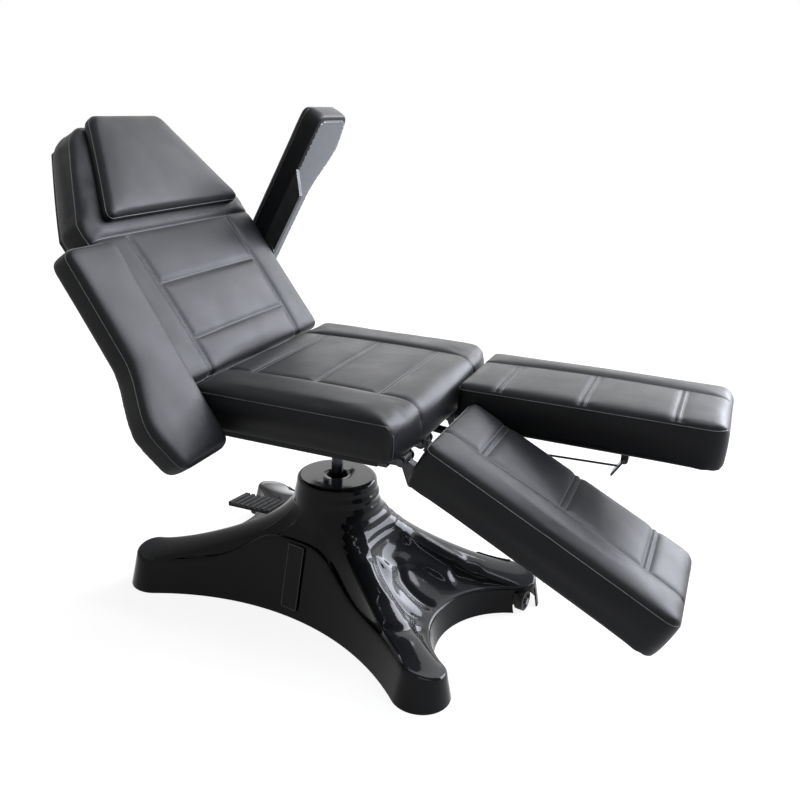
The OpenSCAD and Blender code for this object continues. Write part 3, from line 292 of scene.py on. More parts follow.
def dashes(path: Array, normals: Array, pitch: float, length: float, radius: float) -> Surface:
    """Short beads at a steady pitch along a path, such as stitches or staples.

    Each is a spindle of two tips and two square rings.

    Args:
        path: Points of the middle line.
        normals: Outward directions.
        pitch: Distance between the middles of two dashes.
        length: Length of a dash.
        radius: Its radius.

    Returns:
        The surface of all dashes.
    """
    reach = np.concatenate([[0], np.cumsum(np.linalg.norm(np.diff(path, axis=0), axis=1))])
    places = np.arange(pitch / 2, reach[-1], pitch)
    along, out, across = frames_along(path, normals, False)

    def at(values: Array) -> Array:
        return np.stack([np.interp(places, reach, values[:, i]) for i in range(3)], -1)

    middle, along, out, across = at(path), unit(at(along)), unit(at(out)), unit(at(across))
    turn = 2 * math.pi * np.arange(4) / 4
    ring = radius * round_about(turn, out, across)
    half = along[:, None] * length / 2
    points = np.concatenate([
        middle[:, None] - half, middle[:, None] - 0.7 * half + ring,
        middle[:, None] + 0.7 * half + ring, middle[:, None] + half], 1)
    one = [[0, 1 + (k + 1) % 4, 1 + k] for k in range(4)] + [[9, 5 + k, 5 + (k + 1) % 4] for k in range(4)]
    sides = np.array([[1 + k, 1 + (k + 1) % 4, 5 + (k + 1) % 4, 5 + k] for k in range(4)])
    shift = 10 * np.arange(len(places))[:, None, None]
    made = Surface()
    made.add(points, (np.array(one)[None] + shift).reshape(-1, 3), (sides[None] + shift).reshape(-1, 4))
    return made


def joined(surfaces: Sequence[Surface]) -> Surface:
    """Several surfaces as one."""
    made = Surface()
    for part in surfaces:
        points = np.concatenate(part.points)
        made.points.append(points)
        made.faces.extend([[i + made.count for i in f] for f in part.faces])
        made.count += len(points)
    return made


def add_node(tree: Tree, kind: str, links: dict | None = None, values: dict | None = None,
             **settings: object) -> bpy.types.Node:
    """Adds a shader node.

    Args:
        tree: The material's or world's nodes.
        kind: The node's type.
        links: Outputs that feed its inputs, by the input's name or number.
        values: Values of inputs, by name or number.
        settings: Attributes of the node.

    Returns:
        The node.
    """
    node = tree.nodes.new(kind)
    for name, value in settings.items():
        setattr(node, name, value)
    for name, value in (values or {}).items():
        node.inputs[name].default_value = value
    for name, source in (links or {}).items():
        tree.links.new(source, node.inputs[name])
    return node


# --- finishes


@dataclass(frozen=True)
class Finish:
    """What one surface is made of. A subclass adds the pattern."""

    name: str
    colour: str
    other_colour: str
    roughness: tuple[float, float]
    metallic: float = 0.0
    ior: float = 1.5
    sheen: float = 0.0

    def material(self) -> bpy.types.Material:
        """The finish's material, made once."""
        return bpy.data.materials.get(self.name) or self.build()

    def build(self) -> bpy.types.Material:
        """Makes the material from the shader's own values and the finish's pattern."""
        made = bpy.data.materials.new(self.name)
        made.use_nodes = True
        tree = made.node_tree
        shader = tree.nodes["Principled BSDF"]
        for name, value in {"Metallic": self.metallic, "IOR": self.ior, "Sheen Weight": self.sheen}.items():
            shader.inputs[name].default_value = value
        place = add_node(tree, "ShaderNodeTexCoord").outputs["Object"]
        shade, rough, height, depth = self.pattern(tree, place)
        mixed = add_node(tree, "ShaderNodeMix", {"Factor": shade}, {
            6: linear(self.colour), 7: linear(self.other_colour)}, data_type="RGBA")
        low, high = self.roughness
        spread = add_node(tree, "ShaderNodeMapRange", {"Value": rough}, {"To Min": low, "To Max": high})
        bump = add_node(tree, "ShaderNodeBump", {"Height": height}, {"Distance": depth, "Strength": 1.0})
        tree.links.new(mixed.outputs[2], shader.inputs["Base Color"])
        tree.links.new(spread.outputs[0], shader.inputs["Roughness"])
        tree.links.new(bump.outputs[0], shader.inputs["Normal"])
        return made

    def pattern(self, tree: Tree, place: Socket) -> tuple:
        """Sockets for shade, roughness and height, and the height's depth in metres."""
        raise NotImplementedError

    @staticmethod
    def noise(tree: Tree, place: Socket, size: float, detail: float = 2.0,
              low: float = 0.35, high: float = 0.65) -> Socket:
        """Noise with lumps of a real size in metres, spread to 0 and 1 between two of its values."""
        node = add_node(tree, "ShaderNodeTexNoise", {"Vector": place}, {"Scale": 1 / size, "Detail": detail})
        return add_node(tree, "ShaderNodeMapRange", {"Value": node.outputs[0]}, {
            "From Min": low, "From Max": high}).outputs[0]

    @staticmethod
    def blend(tree: Tree, a: Socket, b: Socket,
              share: float) -> Socket:
        """The value a with a share of b."""
        return add_node(tree, "ShaderNodeMix", {2: a, 3: b}, {"Factor": share}).outputs[0]


@dataclass(frozen=True)
class PressedLeather(Finish):
    """Polyurethane leather: cloth with a pressed and printed skin, satin, with a fine pebble.

    The pebble is 1.8 mm, coarser than the real 0.6 mm, so that it shows. Slow swellings of 45 mm
    break the reflections as foam under the skin does.
    """

    def pattern(self, tree: Tree, place: Socket) -> tuple:
        """Pebbles between fine creases, on slow swellings."""
        cells = add_node(tree, "ShaderNodeTexVoronoi", {"Vector": place}, {"Scale": 1 / 0.0018},
                         feature="DISTANCE_TO_EDGE")
        pebble = add_node(tree, "ShaderNodeMapRange", {"Value": cells.outputs["Distance"]}, {
            "From Max": 0.35, "To Max": 0.12}).outputs[0]
        swell = self.noise(tree, place, 0.045, 1.0, 0.2, 0.8)
        height = add_node(tree, "ShaderNodeMath", {0: swell, 2: pebble}, {1: 0.3},
                          operation="MULTIPLY_ADD").outputs[0]
        smear = self.noise(tree, place, 0.07, 4.0)
        return self.noise(tree, place, 0.11, 3.0), smear, height, 0.0009


@dataclass(frozen=True)
class GlossMoulding(Finish):
    """Glass fibre moulding with a black gel coat: a deep gloss with a faint long ripple."""

    def pattern(self, tree: Tree, place: Socket) -> tuple:
        """A 16 mm ripple, and fine rubbing marks in the roughness."""
        ripple = self.noise(tree, place, 0.016, 0.0, 0.2, 0.8)
        rubbed = self.noise(tree, place, 0.03, 6.0, 0.45, 0.8)
        return self.noise(tree, place, 0.2), rubbed, ripple, 0.00004


@dataclass(frozen=True)
class PowderCoat(Finish):
    """Powder coat, sprayed dry and baked: satin, with the bumps of its 0.7 mm grain."""

    def pattern(self, tree: Tree, place: Socket) -> tuple:
        """Fine lumps, and wear in slow patches."""
        return (self.noise(tree, place, 0.05, 4.0), self.noise(tree, place, 0.02, 3.0),
                self.noise(tree, place, 0.0012, 1.0, 0.2, 0.8), 0.00008)


@dataclass(frozen=True)
class PlatedSteel(Finish):
    """Ground and plated steel: bright, with 0.4 mm turning marks along the bar's length."""

    def pattern(self, tree: Tree, place: Socket) -> tuple:
        """Marks that are 40 times as long as they are wide."""
        squeezed = add_node(tree, "ShaderNodeMapping", {"Vector": place}, {"Scale": (1, 1, 0.025)}).outputs[0]
        marks = self.noise(tree, squeezed, 0.0006, 2.0, 0.3, 0.7)
        return self.noise(tree, place, 0.03), marks, marks, 0.00001


@dataclass(frozen=True)
class ZincPlate(Finish):
    """Zinc plated sheet: a grey metal with soft 5 mm crystals that differ in tone."""

    def pattern(self, tree: Tree, place: Socket) -> tuple:
        """Flat cells of random tone, with a little noise."""
        cells = add_node(tree, "ShaderNodeTexVoronoi", {"Vector": place}, {"Scale": 1 / 0.005})
        tone = add_node(tree, "ShaderNodeSeparateColor", {0: cells.outputs["Color"]}).outputs[0]
        fine = self.noise(tree, place, 0.002, 3.0)
        return self.blend(tree, tone, fine, 0.4), tone, fine, 0.00002


@dataclass(frozen=True)
class MouldedRubber(Finish):
    """Moulded rubber: matt, with a dusty bloom in patches and a 1 mm grain."""

    def pattern(self, tree: Tree, place: Socket) -> tuple:
        """Bloom in slow patches and fine lumps."""
        return (self.noise(tree, place, 0.012, 5.0, 0.4, 0.75), self.noise(tree, place, 0.01),
                self.noise(tree, place, 0.001, 2.0, 0.2, 0.8), 0.0001)


@dataclass(frozen=True)
class SpunLining(Finish):
    """Spun-bonded lining stapled over a board: dull, embossed with a 2.4 mm lattice of dots."""

    def pattern(self, tree: Tree, place: Socket) -> tuple:
        """Dots on a lattice, each a bonded point."""
        dots = add_node(tree, "ShaderNodeTexVoronoi", {"Vector": place}, {
            "Scale": 1 / 0.0024, "Randomness": 0.25}, feature="F1")
        height = add_node(tree, "ShaderNodeMapRange", {"Value": dots.outputs["Distance"]}, {
            "From Max": 0.5}).outputs[0]
        return self.blend(tree, height, self.noise(tree, place, 0.02, 4.0), 0.5), height, height, 0.0002


@dataclass(frozen=True)
class SpunThread(Finish):
    """Bonded nylon thread: two plies that show as a 1 mm twist."""

    def pattern(self, tree: Tree, place: Socket) -> tuple:
        """Bands of the plies."""
        band = add_node(tree, "ShaderNodeTexWave", {"Vector": place}, {"Scale": 1 / 0.006},
                        bands_direction="DIAGONAL").outputs["Fac"]
        return band, band, band, 0.0001


LEATHER = PressedLeather("pressed_pu_leather", "#0f1012", "#131416", (0.42, 0.48), ior=1.26)
PIPING = PressedLeather("pu_leather_piping", "#3c3e41", "#494b4e", (0.4, 0.5), ior=1.45)
GEL_COAT = GlossMoulding("gel_coated_moulding", "#1d1e20", "#222325", (0.07, 0.14), ior=1.2)
# The bead round the blanking strip is lighter grey than the gel coat: a painted highlight along the strip's
# edge.
PAINTED_HIGHLIGHT_BEAD = GlossMoulding("painted_highlight_edge_bead", "#2c2e30", "#343638", (0.25, 0.35), ior=1.45)
POWDER = PowderCoat("black_powder_coat", "#121315", "#1a1b1d", (0.42, 0.55))
CHROME = PlatedSteel("ground_plated_steel", "#b9bcc0", "#a9acb1", (0.08, 0.18), metallic=1.0)
BLACK_OXIDE = PlatedSteel("black_oxide_steel", "#3c3e41", "#303235", (0.16, 0.28), metallic=1.0)
ZINC = ZincPlate("zinc_plated_steel", "#7d8084", "#97999c", (0.3, 0.42), metallic=1.0)
RUBBER = MouldedRubber("moulded_black_rubber", "#0c0c0d", "#151516", (0.7, 0.85))
LINING = SpunLining("spun_bonded_lining", "#37393c", "#44464a", (0.75, 0.9), sheen=0.2)
BOARD_LINING = SpunLining("black_spun_bonded_lining", "#101113", "#191a1c", (0.75, 0.9), sheen=0.2)
THREAD = SpunThread("bonded_nylon_thread", "#4c4f52", "#5e6165", (0.5, 0.6))


def dress(made: Object, finish: Finish, body: str) -> Object:
    """Gives a new piece its finish and body."""
    made.data.materials.clear()
    made.data.materials.append(finish.material())
    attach(made, body)
    LOG.info("%s: %d points on body %s", made.name, len(made.data.vertices), body)
    return made


def dress_nodes(finish: Finish, *names: str) -> None:
    """Gives carried-over nodes of the frame a finish."""
    for name in names:
        node = frame["nodes"][name]
        for place in node.material_slots:
            place.material = finish.material()


def joint_place(name: str) -> Vector:
    """Where a joint's axis lies at rest."""
    found = next(j for j in frame["joints"] if j["name"] == name)
    return Vector(found["pos_m"])


# --- camera and studio


@dataclass(frozen=True)
class Lamp:
    """A soft rectangular lamp that faces a target."""

    name: str
    place: Point
    target: Point
    size: tuple[float, float]
    watts: float
    colour: str = "#ffffff"

    def build(self) -> None:
        """Makes the lamp."""
        data = bpy.data.lights.new(self.name, "AREA")
        data.shape = "RECTANGLE"
        data.size, data.size_y = self.size
        data.energy = self.watts
        data.color = linear(self.colour)[:3]
        made = bpy.data.objects.new(self.name, data)
        made.location = self.place
        made.rotation_euler = (Vector(self.target) - Vector(self.place)).to_track_quat("-Z", "Y").to_euler()
        bpy.context.scene.collection.objects.link(made)


@dataclass
class Studio:
    """Camera at the photograph's angle, a plain pale floor and soft lamps."""

    eye: Point = (0.8150, -1.7206, 1.1743)
    azimuth: float = 21.96
    elevation: float = 19.58
    roll: float = 2.36
    focal_px: float = 866.6
    frame_px: float = 800.0
    middle_px: tuple[float, float] = (387.0, 405.4)
    sensor_mm: float = 36.0
    floor_size: float = 24.0
    floor_colour: str = "#7c7c7c"
    floor_glow: float = 0.9
    soft_light: float = 0.08
    lamps: tuple[Lamp, ...] = (
        Lamp("window", (5.7, 7.6, 4.4), (0.0, 0.0, 0.6), (7.5, 5.0), 2050, "#eef2ff"),
        Lamp("wall", (3.5, 13.0, 6.5), (0.0, 0.0, 0.6), (28.0, 13.0), 2500),
        Lamp("ceiling", (1.7, 0.5, 3.3), (0.2, 0.0, 0.5), (2.5, 2.5), 190, "#f2f5ff"),
    )

    def camera(self) -> None:
        """Makes the camera from the eye, two angles, a roll and the focal length in pixels."""
        a, e, r = (math.radians(v) for v in (self.azimuth, self.elevation, self.roll))
        back = Vector((math.sin(a) * math.cos(e), -math.cos(a) * math.cos(e), math.sin(e)))
        right = Vector((math.cos(a), math.sin(a), 0))
        up = back.cross(right)
        turned_right = math.cos(r) * right + math.sin(r) * up
        turned_up = math.cos(r) * up - math.sin(r) * right
        data = bpy.data.cameras.new("camera")
        data.sensor_width = self.sensor_mm
        data.lens = self.focal_px / self.frame_px * self.sensor_mm
        data.shift_x = (self.frame_px / 2 - self.middle_px[0]) / self.frame_px
        data.shift_y = (self.middle_px[1] - self.frame_px / 2) / self.frame_px
        made = bpy.data.objects.new("camera", data)
        matrix = Matrix((turned_right, turned_up, back)).transposed().to_4x4()
        matrix.translation = Vector(self.eye)
        made.matrix_world = matrix
        bpy.context.scene.collection.objects.link(made)
        bpy.context.scene.camera = made

    def floor(self) -> None:
        """A plain pale floor."""
        half = self.floor_size / 2
        corners = np.array([[-half, -half, 0], [half, -half, 0], [half, half, 0], [-half, half, 0]])
        made = Surface()
        made.add(corners, np.array([[0, 1, 2, 3]]))
        plane = made.build("studio_floor", outward=False)
        plane.data.materials.append(self.floor_paint())

    def floor_paint(self) -> bpy.types.Material:
        """Matt white paint, whose glow lifts it to the background's white outside the chair's shadow."""
        made = bpy.data.materials.new("matt_white_floor_paint")
        made.use_nodes = True
        tree = made.node_tree
        shader = tree.nodes["Principled BSDF"]
        for name, value in {"Base Color": linear(self.floor_colour), "Roughness": 1.0,
                            "Specular IOR Level": 0.0}.items():
            shader.inputs[name].default_value = value
        glow = add_node(tree, "ShaderNodeEmission", {"Strength": self.seen(tree, self.floor_glow)}, {
            "Color": linear("#ffffff")})
        both = add_node(tree, "ShaderNodeAddShader", {0: shader.outputs[0], 1: glow.outputs[0]})
        tree.links.new(both.outputs[0], tree.nodes["Material Output"].inputs["Surface"])
        return made

    @staticmethod
    def seen(tree: Tree, strength: float) -> Socket:
        """A strength for camera, glossy and transmitted rays, and zero for the rest."""
        path = add_node(tree, "ShaderNodeLightPath")
        first = add_node(tree, "ShaderNodeMath", {
            0: path.outputs["Is Camera Ray"], 1: path.outputs["Is Glossy Ray"]}, operation="MAXIMUM")
        both = add_node(tree, "ShaderNodeMath", {
            0: first.outputs[0], 1: path.outputs["Is Transmission Ray"]}, operation="MAXIMUM")
        return add_node(tree, "ShaderNodeMath", {0: both.outputs[0]}, {1: strength},
                        operation="MULTIPLY").outputs[0]

    def world(self) -> None:
        """A white background for camera, glossy and transmitted rays, and soft grey light otherwise."""
        world = bpy.data.worlds.new("studio")
        bpy.context.scene.world = world
        world.use_nodes = True
        tree = world.node_tree
        tree.nodes.clear()
        extra = self.seen(tree, 1.0 - self.soft_light)
        level = add_node(tree, "ShaderNodeMath", {0: extra}, {1: self.soft_light}, operation="ADD")
        sky = add_node(tree, "ShaderNodeBackground", {"Strength": level.outputs[0]}, {
            "Color": linear("#ffffff")})
        add_node(tree, "ShaderNodeOutputWorld", {"Surface": sky.outputs[0]})

    def build(self) -> None:
        """Makes the studio."""
        self.floor()
        self.world()
        for lamp in self.lamps:
            lamp.build()


# --- cushions


class Edge(Enum):
    """Where a pad has its piping."""

    SIDES = "sides"
    LOOP = "loop"


class Sewing(Enum):
    """How a seam is sewn."""

    PLAIN = "plain"
    DOUBLE = "double"
    TOP_STITCHED = "top_stitched"


@dataclass(frozen=True)
class Seam:
    """A straight seam on a pad's face, in the pad's own plan."""

    start: tuple[float, float]
    end: tuple[float, float]
    sewing: Sewing = Sewing.PLAIN
    band: float = 0.011

    def lines(self) -> list[tuple[Array, Array]]:
        """The creases that the seam makes: one, or two at the edges of its band."""
        a, b = np.array(self.start), np.array(self.end)
        across = unit(np.array([b[1] - a[1], a[0] - b[0]])) * self.band / 2
        if self.sewing is Sewing.DOUBLE:
            return [(a + across, b + across), (a - across, b - across)]
        return [(a, b)]


@dataclass
class Pad:
    """A foam pad with a sewn cover, in its own plan: x along it, y across it, z out of its face.

    Attributes:
        ends: Rounding of the face at the start and the far end.
        corners: Rounding of the plan's corners there, and side_r the rounding of the face's sides.
        crown: Rise of the face's middle, up to crown_to, or to the far end where that is 0.
        nose: Bulge of the far end's middle.
        swell: How far the pressed cover may come out.
        firmness: Share of the evened swelling, made with that many rounds of evening.
        crease_down: Slope of the cover, as its normal's z, below which no seam presses in.
        valley: Depth and width of the hollow along a seam, and fold those of the crease at its bottom.
        stitch: Pitch, length and radius of a stitch of a row that runs stitch_aside from its seam.
    """

    name: str
    nodes: tuple[str, ...]
    body: str
    place: Matrix
    length: float
    thickness: float
    left: Width
    right: Width
    ends: tuple[float, float] = (0.018, 0.018)
    corners: tuple[float, float] = (0.014, 0.014)
    side_r: float = 0.014
    crown: float = 0.007
    crown_to: float = 0.0
    nose: float = 0.0
    seams: tuple[Seam, ...] = ()
    edge: Edge = Edge.LOOP
    swell: float = 0.006
    firmness: float = 0.75
    evening: int = 14
    crease_down: float = -0.2
    piping_drop: float = 0.004
    fill: float = 0.85
    voxel: float = 0.0055
    side_pull: float = 0.002
    draw_in: float = 0.004
    bulge: float = 0.0015
    valley: tuple[float, float] = (0.0022, 0.009)
    fold: tuple[float, float] = (0.0016, 0.0028)
    bead_r: float = 0.0010
    thread_r: float = 0.00045
    stitch: Point = (0.0065, 0.0045, 0.0006)
    stitch_aside: float = 0.0085

    def inset(self, x: Array) -> Array:
        """How far the sides stand in at x: rounded corners, and a slight pull between them."""
        return (np.maximum(edge_drop(x, self.corners[0]), edge_drop(self.length - x, self.corners[1]))
                + self.side_pull * np.sin(math.pi * np.clip(x / self.length, 0, 1)))

    def sides(self, x: Array) -> tuple[Array, Array]:
        """The left and right sides of the pad at x."""
        return self.left(x) + self.inset(x), self.right(x) - self.inset(x)

    def forward(self, x: Array, w: Array) -> Array:
        """x with the bulge of the far end's middle, which grows with the fourth power of x."""
        return x + self.nose * (x / self.length) ** 4 * (1 - np.abs(2 * w - 1) ** 3)

    def height(self, x: Array, w: Array) -> Array:
        """Height of the face: thickness and crown, less the rounding of its nearest edge."""
        low, high = self.sides(x)
        width = high - low
        reach = self.crown_to or self.length
        crown = np.where(x > reach, 0, self.crown * np.sin(math.pi * x / reach) * (1 - (2 * w - 1) ** 2))
        fall = np.maximum.reduce([
            edge_drop(x, self.ends[0]), edge_drop(self.length - x, self.ends[1]),
            edge_drop(w * width, self.side_r), edge_drop((1 - w) * width, self.side_r)])
        return self.thickness + crown - fall

    def face(self, x: Array, w: Array) -> Array:
        """Points of the face at x and at the share w of the width."""
        low, high = self.sides(x)
        return np.stack([self.forward(x, w), mix(low, high, w), self.height(x, w)], -1)

    def stations(self, length: float, radii: tuple[float, float]) -> Array:
        """Places along a length, close together on its rounded ends."""
        bend = 1 - np.cos(np.linspace(0, math.pi / 2, 8))
        return np.unique(np.round(np.concatenate([
            bend * radii[0], length - bend * radii[1],
            np.linspace(radii[0], length - radii[1], max(4, int(length / 0.008)))]), 5))

    def form(self) -> Surface:
        """The closed form before sewing: a face on a grid, walls on its outline and a flat underside."""
        x = self.stations(self.length, self.ends)
        width = float((self.right(x) - self.left(x)).max())
        w = self.stations(width, (self.side_r, self.side_r)) / width
        grid_x, grid_w = np.meshgrid(x, w, indexing="ij")
        grid = self.face(grid_x, grid_w)
        rows, columns = grid.shape[:2]
        index = np.arange(rows * columns).reshape(rows, columns)
        loop = np.concatenate([index[0, :-1], index[:-1, -1], index[-1, :0:-1], index[:0:-1, 0]])
        rim = grid.reshape(-1, 3)[loop]
        along = np.roll(rim, -1, 0) - np.roll(rim, 1, 0)
        out = unit(np.stack([-along[:, 1], along[:, 0]], -1))
        out *= np.sign(((rim[:, :2] - rim[:, :2].mean(0)) * out).sum())
        shares = np.array([0.85, 0.65, 0.4, 0.2, 0.08, 0.0])
        offset = self.bulge * np.sin(math.pi * shares) - self.draw_in * (1 - shares) ** 4
        walls = np.stack([np.concatenate([
            rim[:, :2] + out * o, rim[:, 2:] * f], -1) for o, f in zip(offset, shares)])
        middle = np.array([[*walls[-1, :, :2].mean(0), 0.0]])
        made = Surface()
        start, count = rows * columns, len(loop)
        rings = np.concatenate([loop[None], start + np.arange(walls.shape[0] * count).reshape(-1, count)])
        nearby = np.roll(rings, -1, 1)
        wall_faces = np.stack([rings[:-1], rings[1:], nearby[1:], nearby[:-1]], -1).reshape(-1, 4)
        made.add(np.concatenate([grid.reshape(-1, 3), walls.reshape(-1, 3), middle]),
                 grid_faces(rows, columns), wall_faces,
                 fan_faces(rings[-1], start + walls.shape[0] * count))
        return made

    def seam_distance(self, points: Array) -> Array:
        """Distance in plan from each point to the nearest crease."""
        best = np.full(len(points), 1.0)
        for seam in self.seams:
            for a, b in seam.lines():
                run = b - a
                share = np.clip(((points[:, :2] - a) @ run) / (run @ run), 0, 1)
                best = np.minimum(best, np.linalg.norm(points[:, :2] - a - share[:, None] * run, axis=1))
        return best

    def hold(self, made: Object) -> None:
        """Pins the underside, the walls' feet and the seams, which the thread holds down."""
        points = read_points(made.data)
        held = (points[:, 2] < 0.3 * self.thickness) | (self.seam_distance(points) < 0.6 * self.voxel)
        group = made.vertex_groups.new(name="held")
        group.add(np.flatnonzero(held).tolist(), 1.0, "REPLACE")

    def inflate(self, made: Object) -> None:
        """Lets the foam press the cover out between its seams, as cloth under pressure.

        Args:
            made: The remeshed form, whose mesh is changed. No point moves further than the swell.
        """
        rest = read_points(made.data)
        self.hold(made)
        cloth = made.modifiers.new("cover", "CLOTH")
        settings = cloth.settings
        settings.quality = 5
        settings.mass = 0.3
        settings.tension_stiffness = settings.compression_stiffness = 25
        settings.bending_stiffness = 4
        settings.use_pressure = True
        settings.uniform_pressure_force = 4
        settings.vertex_group_mass = "held"
        settings.effector_weights.gravity = 0
        cloth.collision_settings.use_collision = False
        scene = bpy.context.scene
        for step in range(1, 21):
            scene.frame_set(step)
        graph = bpy.context.evaluated_depsgraph_get()
        shaped = made.evaluated_get(graph)
        moved = read_points(shaped.data) - rest
        made.modifiers.clear()
        scene.frame_set(1)
        reach = np.linalg.norm(moved, axis=1, keepdims=True)
        moved *= np.minimum(1, self.swell / np.maximum(reach, 1e-9))
        write_points(made.data, rest + mix(moved, smoothed(made.data, moved, self.evening), self.firmness))

    def crease(self, mesh: Mesh) -> None:
        """Presses the seams in along the cover's normals.

        A wide valley has a narrow fold at its bottom, both of the shape exp(-(d/r)^2).
        """
        points, normals = read_points(mesh), read_normals(mesh)
        away = self.seam_distance(points)
        depth = sum(deep * np.exp(-((away / wide) ** 2)) for deep, wide in (self.valley, self.fold))
        depth *= (ease(normals[:, 2], self.crease_down, self.crease_down + 0.35)
                  * ease(points[:, 2], 0.35 * self.thickness, 0.6 * self.thickness))
        write_points(mesh, points - normals * depth[:, None])

    def trace(self, plan: Array, tree: BVHTree, closed: bool = False) -> tuple[Array, Array]:
        """Lays a path of the plan on the finished cover.

        A point past the outline goes down the wall by as much as it is past it.

        Args:
            plan: Points in x and y.
            tree: The finished cover.
            closed: Whether the path is a loop.

        Returns:
            Points on the cover and the cover's normals there.
        """
        x = np.clip(plan[:, 0], 0, self.length)
        low, high = self.sides(x)
        w = np.clip((plan[:, 1] - low) / (high - low), 0, 1)
        over = (np.abs(plan[:, 0] - x) + np.maximum(0, low - plan[:, 1]) + np.maximum(0, plan[:, 1] - high))
        rough = self.face(x, w)
        rough[:, 2] -= over
        found = [tree.find_nearest(Vector(p)) for p in rough]
        points = np.array([f[0] for f in found])
        normals = np.array([f[1] for f in found])
        for _ in range(3):
            inner = (np.roll(normals, 1, 0) + normals + np.roll(normals, -1, 0)) / 3
            normals = inner if closed else np.concatenate([normals[:1], inner[1:-1], normals[-1:]])
        return points, unit(normals)

    def rim(self) -> Array:
        """The outline of the face in plan, as a closed loop."""
        x = self.stations(self.length, (max(self.corners[0], 0.02), max(self.corners[1], 0.02)))
        low, high = self.sides(x)
        across = np.linspace(0, 1, 60)[1:-1]
        near_end = np.stack([np.zeros(58), mix(high[0], low[0], across)], -1)
        far_end = np.stack([np.full(58, self.length), mix(low[-1], high[-1], across)], -1)
        return np.concatenate([
            np.stack([x, low], -1), far_end, np.stack([x[::-1], high[::-1]], -1), near_end])

    def piping(self, tree: BVHTree) -> Surface:
        """The beads of piping: round the face, or along its sides and down the far corners."""
        if self.edge is Edge.LOOP:
            points, normals = self.trace(self.rim(), tree, closed=True)
            keep = np.linalg.norm(points - np.roll(points, 1, 0), axis=1) > 0.0008
            return tube(points[keep], normals[keep], self.bead_r, closed=True)
        x = np.concatenate([np.linspace(0.004, self.length, 90), self.length + np.linspace(0.002, 0.045, 14)])
        low, high = self.sides(np.clip(x, 0, self.length))
        return joined([tube(*self.trace(np.stack([x, y], -1), tree), self.bead_r) for y in (low, high)])

    def sewn_lines(self, tree: BVHTree) -> tuple[Surface, Surface | None]:
        """Thread in each crease, and rows of stitches beside the top-stitched seams."""
        threads, rows = [], []
        for seam in self.seams:
            for a, b in seam.lines():
                count = max(8, int(np.linalg.norm(b - a) / 0.006))
                share = np.linspace(0, 1, count)[:, None]
                points, normals = self.trace(mix(a, b, share), tree)
                threads.append(tube(points, normals, self.thread_r, 5))
                if seam.sewing is Sewing.TOP_STITCHED:
                    across = unit(np.array([b[1] - a[1], a[0] - b[0]])) * self.stitch_aside
                    points, normals = self.trace(mix(a, b, share) + across, tree)
                    rows.append(dashes(points + normals * 0.0002, normals, *self.stitch))
        return joined(threads) if threads else None, joined(rows) if rows else None

    def build(self) -> Object:
        """Makes the pad, its piping and its thread, and carries them to their place.

        Returns:
            The pad's object.
        """
        made = self.form().build(self.name)
        shrink = made.modifiers.new("even_mesh", "REMESH")
        shrink.mode = "VOXEL"
        shrink.voxel_size = self.voxel
        evaluated(made)
        write_points(made.data, smoothed(made.data, read_points(made.data), 3))
        self.inflate(made)
        finer = made.modifiers.new("finer", "SUBSURF")
        finer.levels = finer.render_levels = 1
        evaluated(made)
        write_points(made.data, smoothed(made.data, read_points(made.data), 2))
        self.crease(made.data)
        points = read_points(made.data)
        faces = [tuple(p.vertices) for p in made.data.polygons]
        tree = BVHTree.FromPolygons([Vector(p) for p in points], faces)
        details = {"piping": (self.piping(tree), PIPING)}
        threads, rows = self.sewn_lines(tree)
        if threads is not None:
            details["seam_thread"] = (threads, THREAD)
        if rows is not None:
            details["top_stitching"] = (rows, THREAD)
        made.data.transform(self.place)
        made.data.shade_smooth()
        made.vertex_groups.clear()
        dress(made, LEATHER, self.body)
        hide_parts(*self.nodes)
        for detail, (surface, finish) in details.items():
            piece = surface.moved(self.place).build(f"{self.name}_{detail}")
            dress(piece, finish, self.body)
        return made


def straight(value: float) -> Width:
    """A side that keeps its place."""
    return lambda x: np.full_like(np.asarray(x, dtype=float), value)


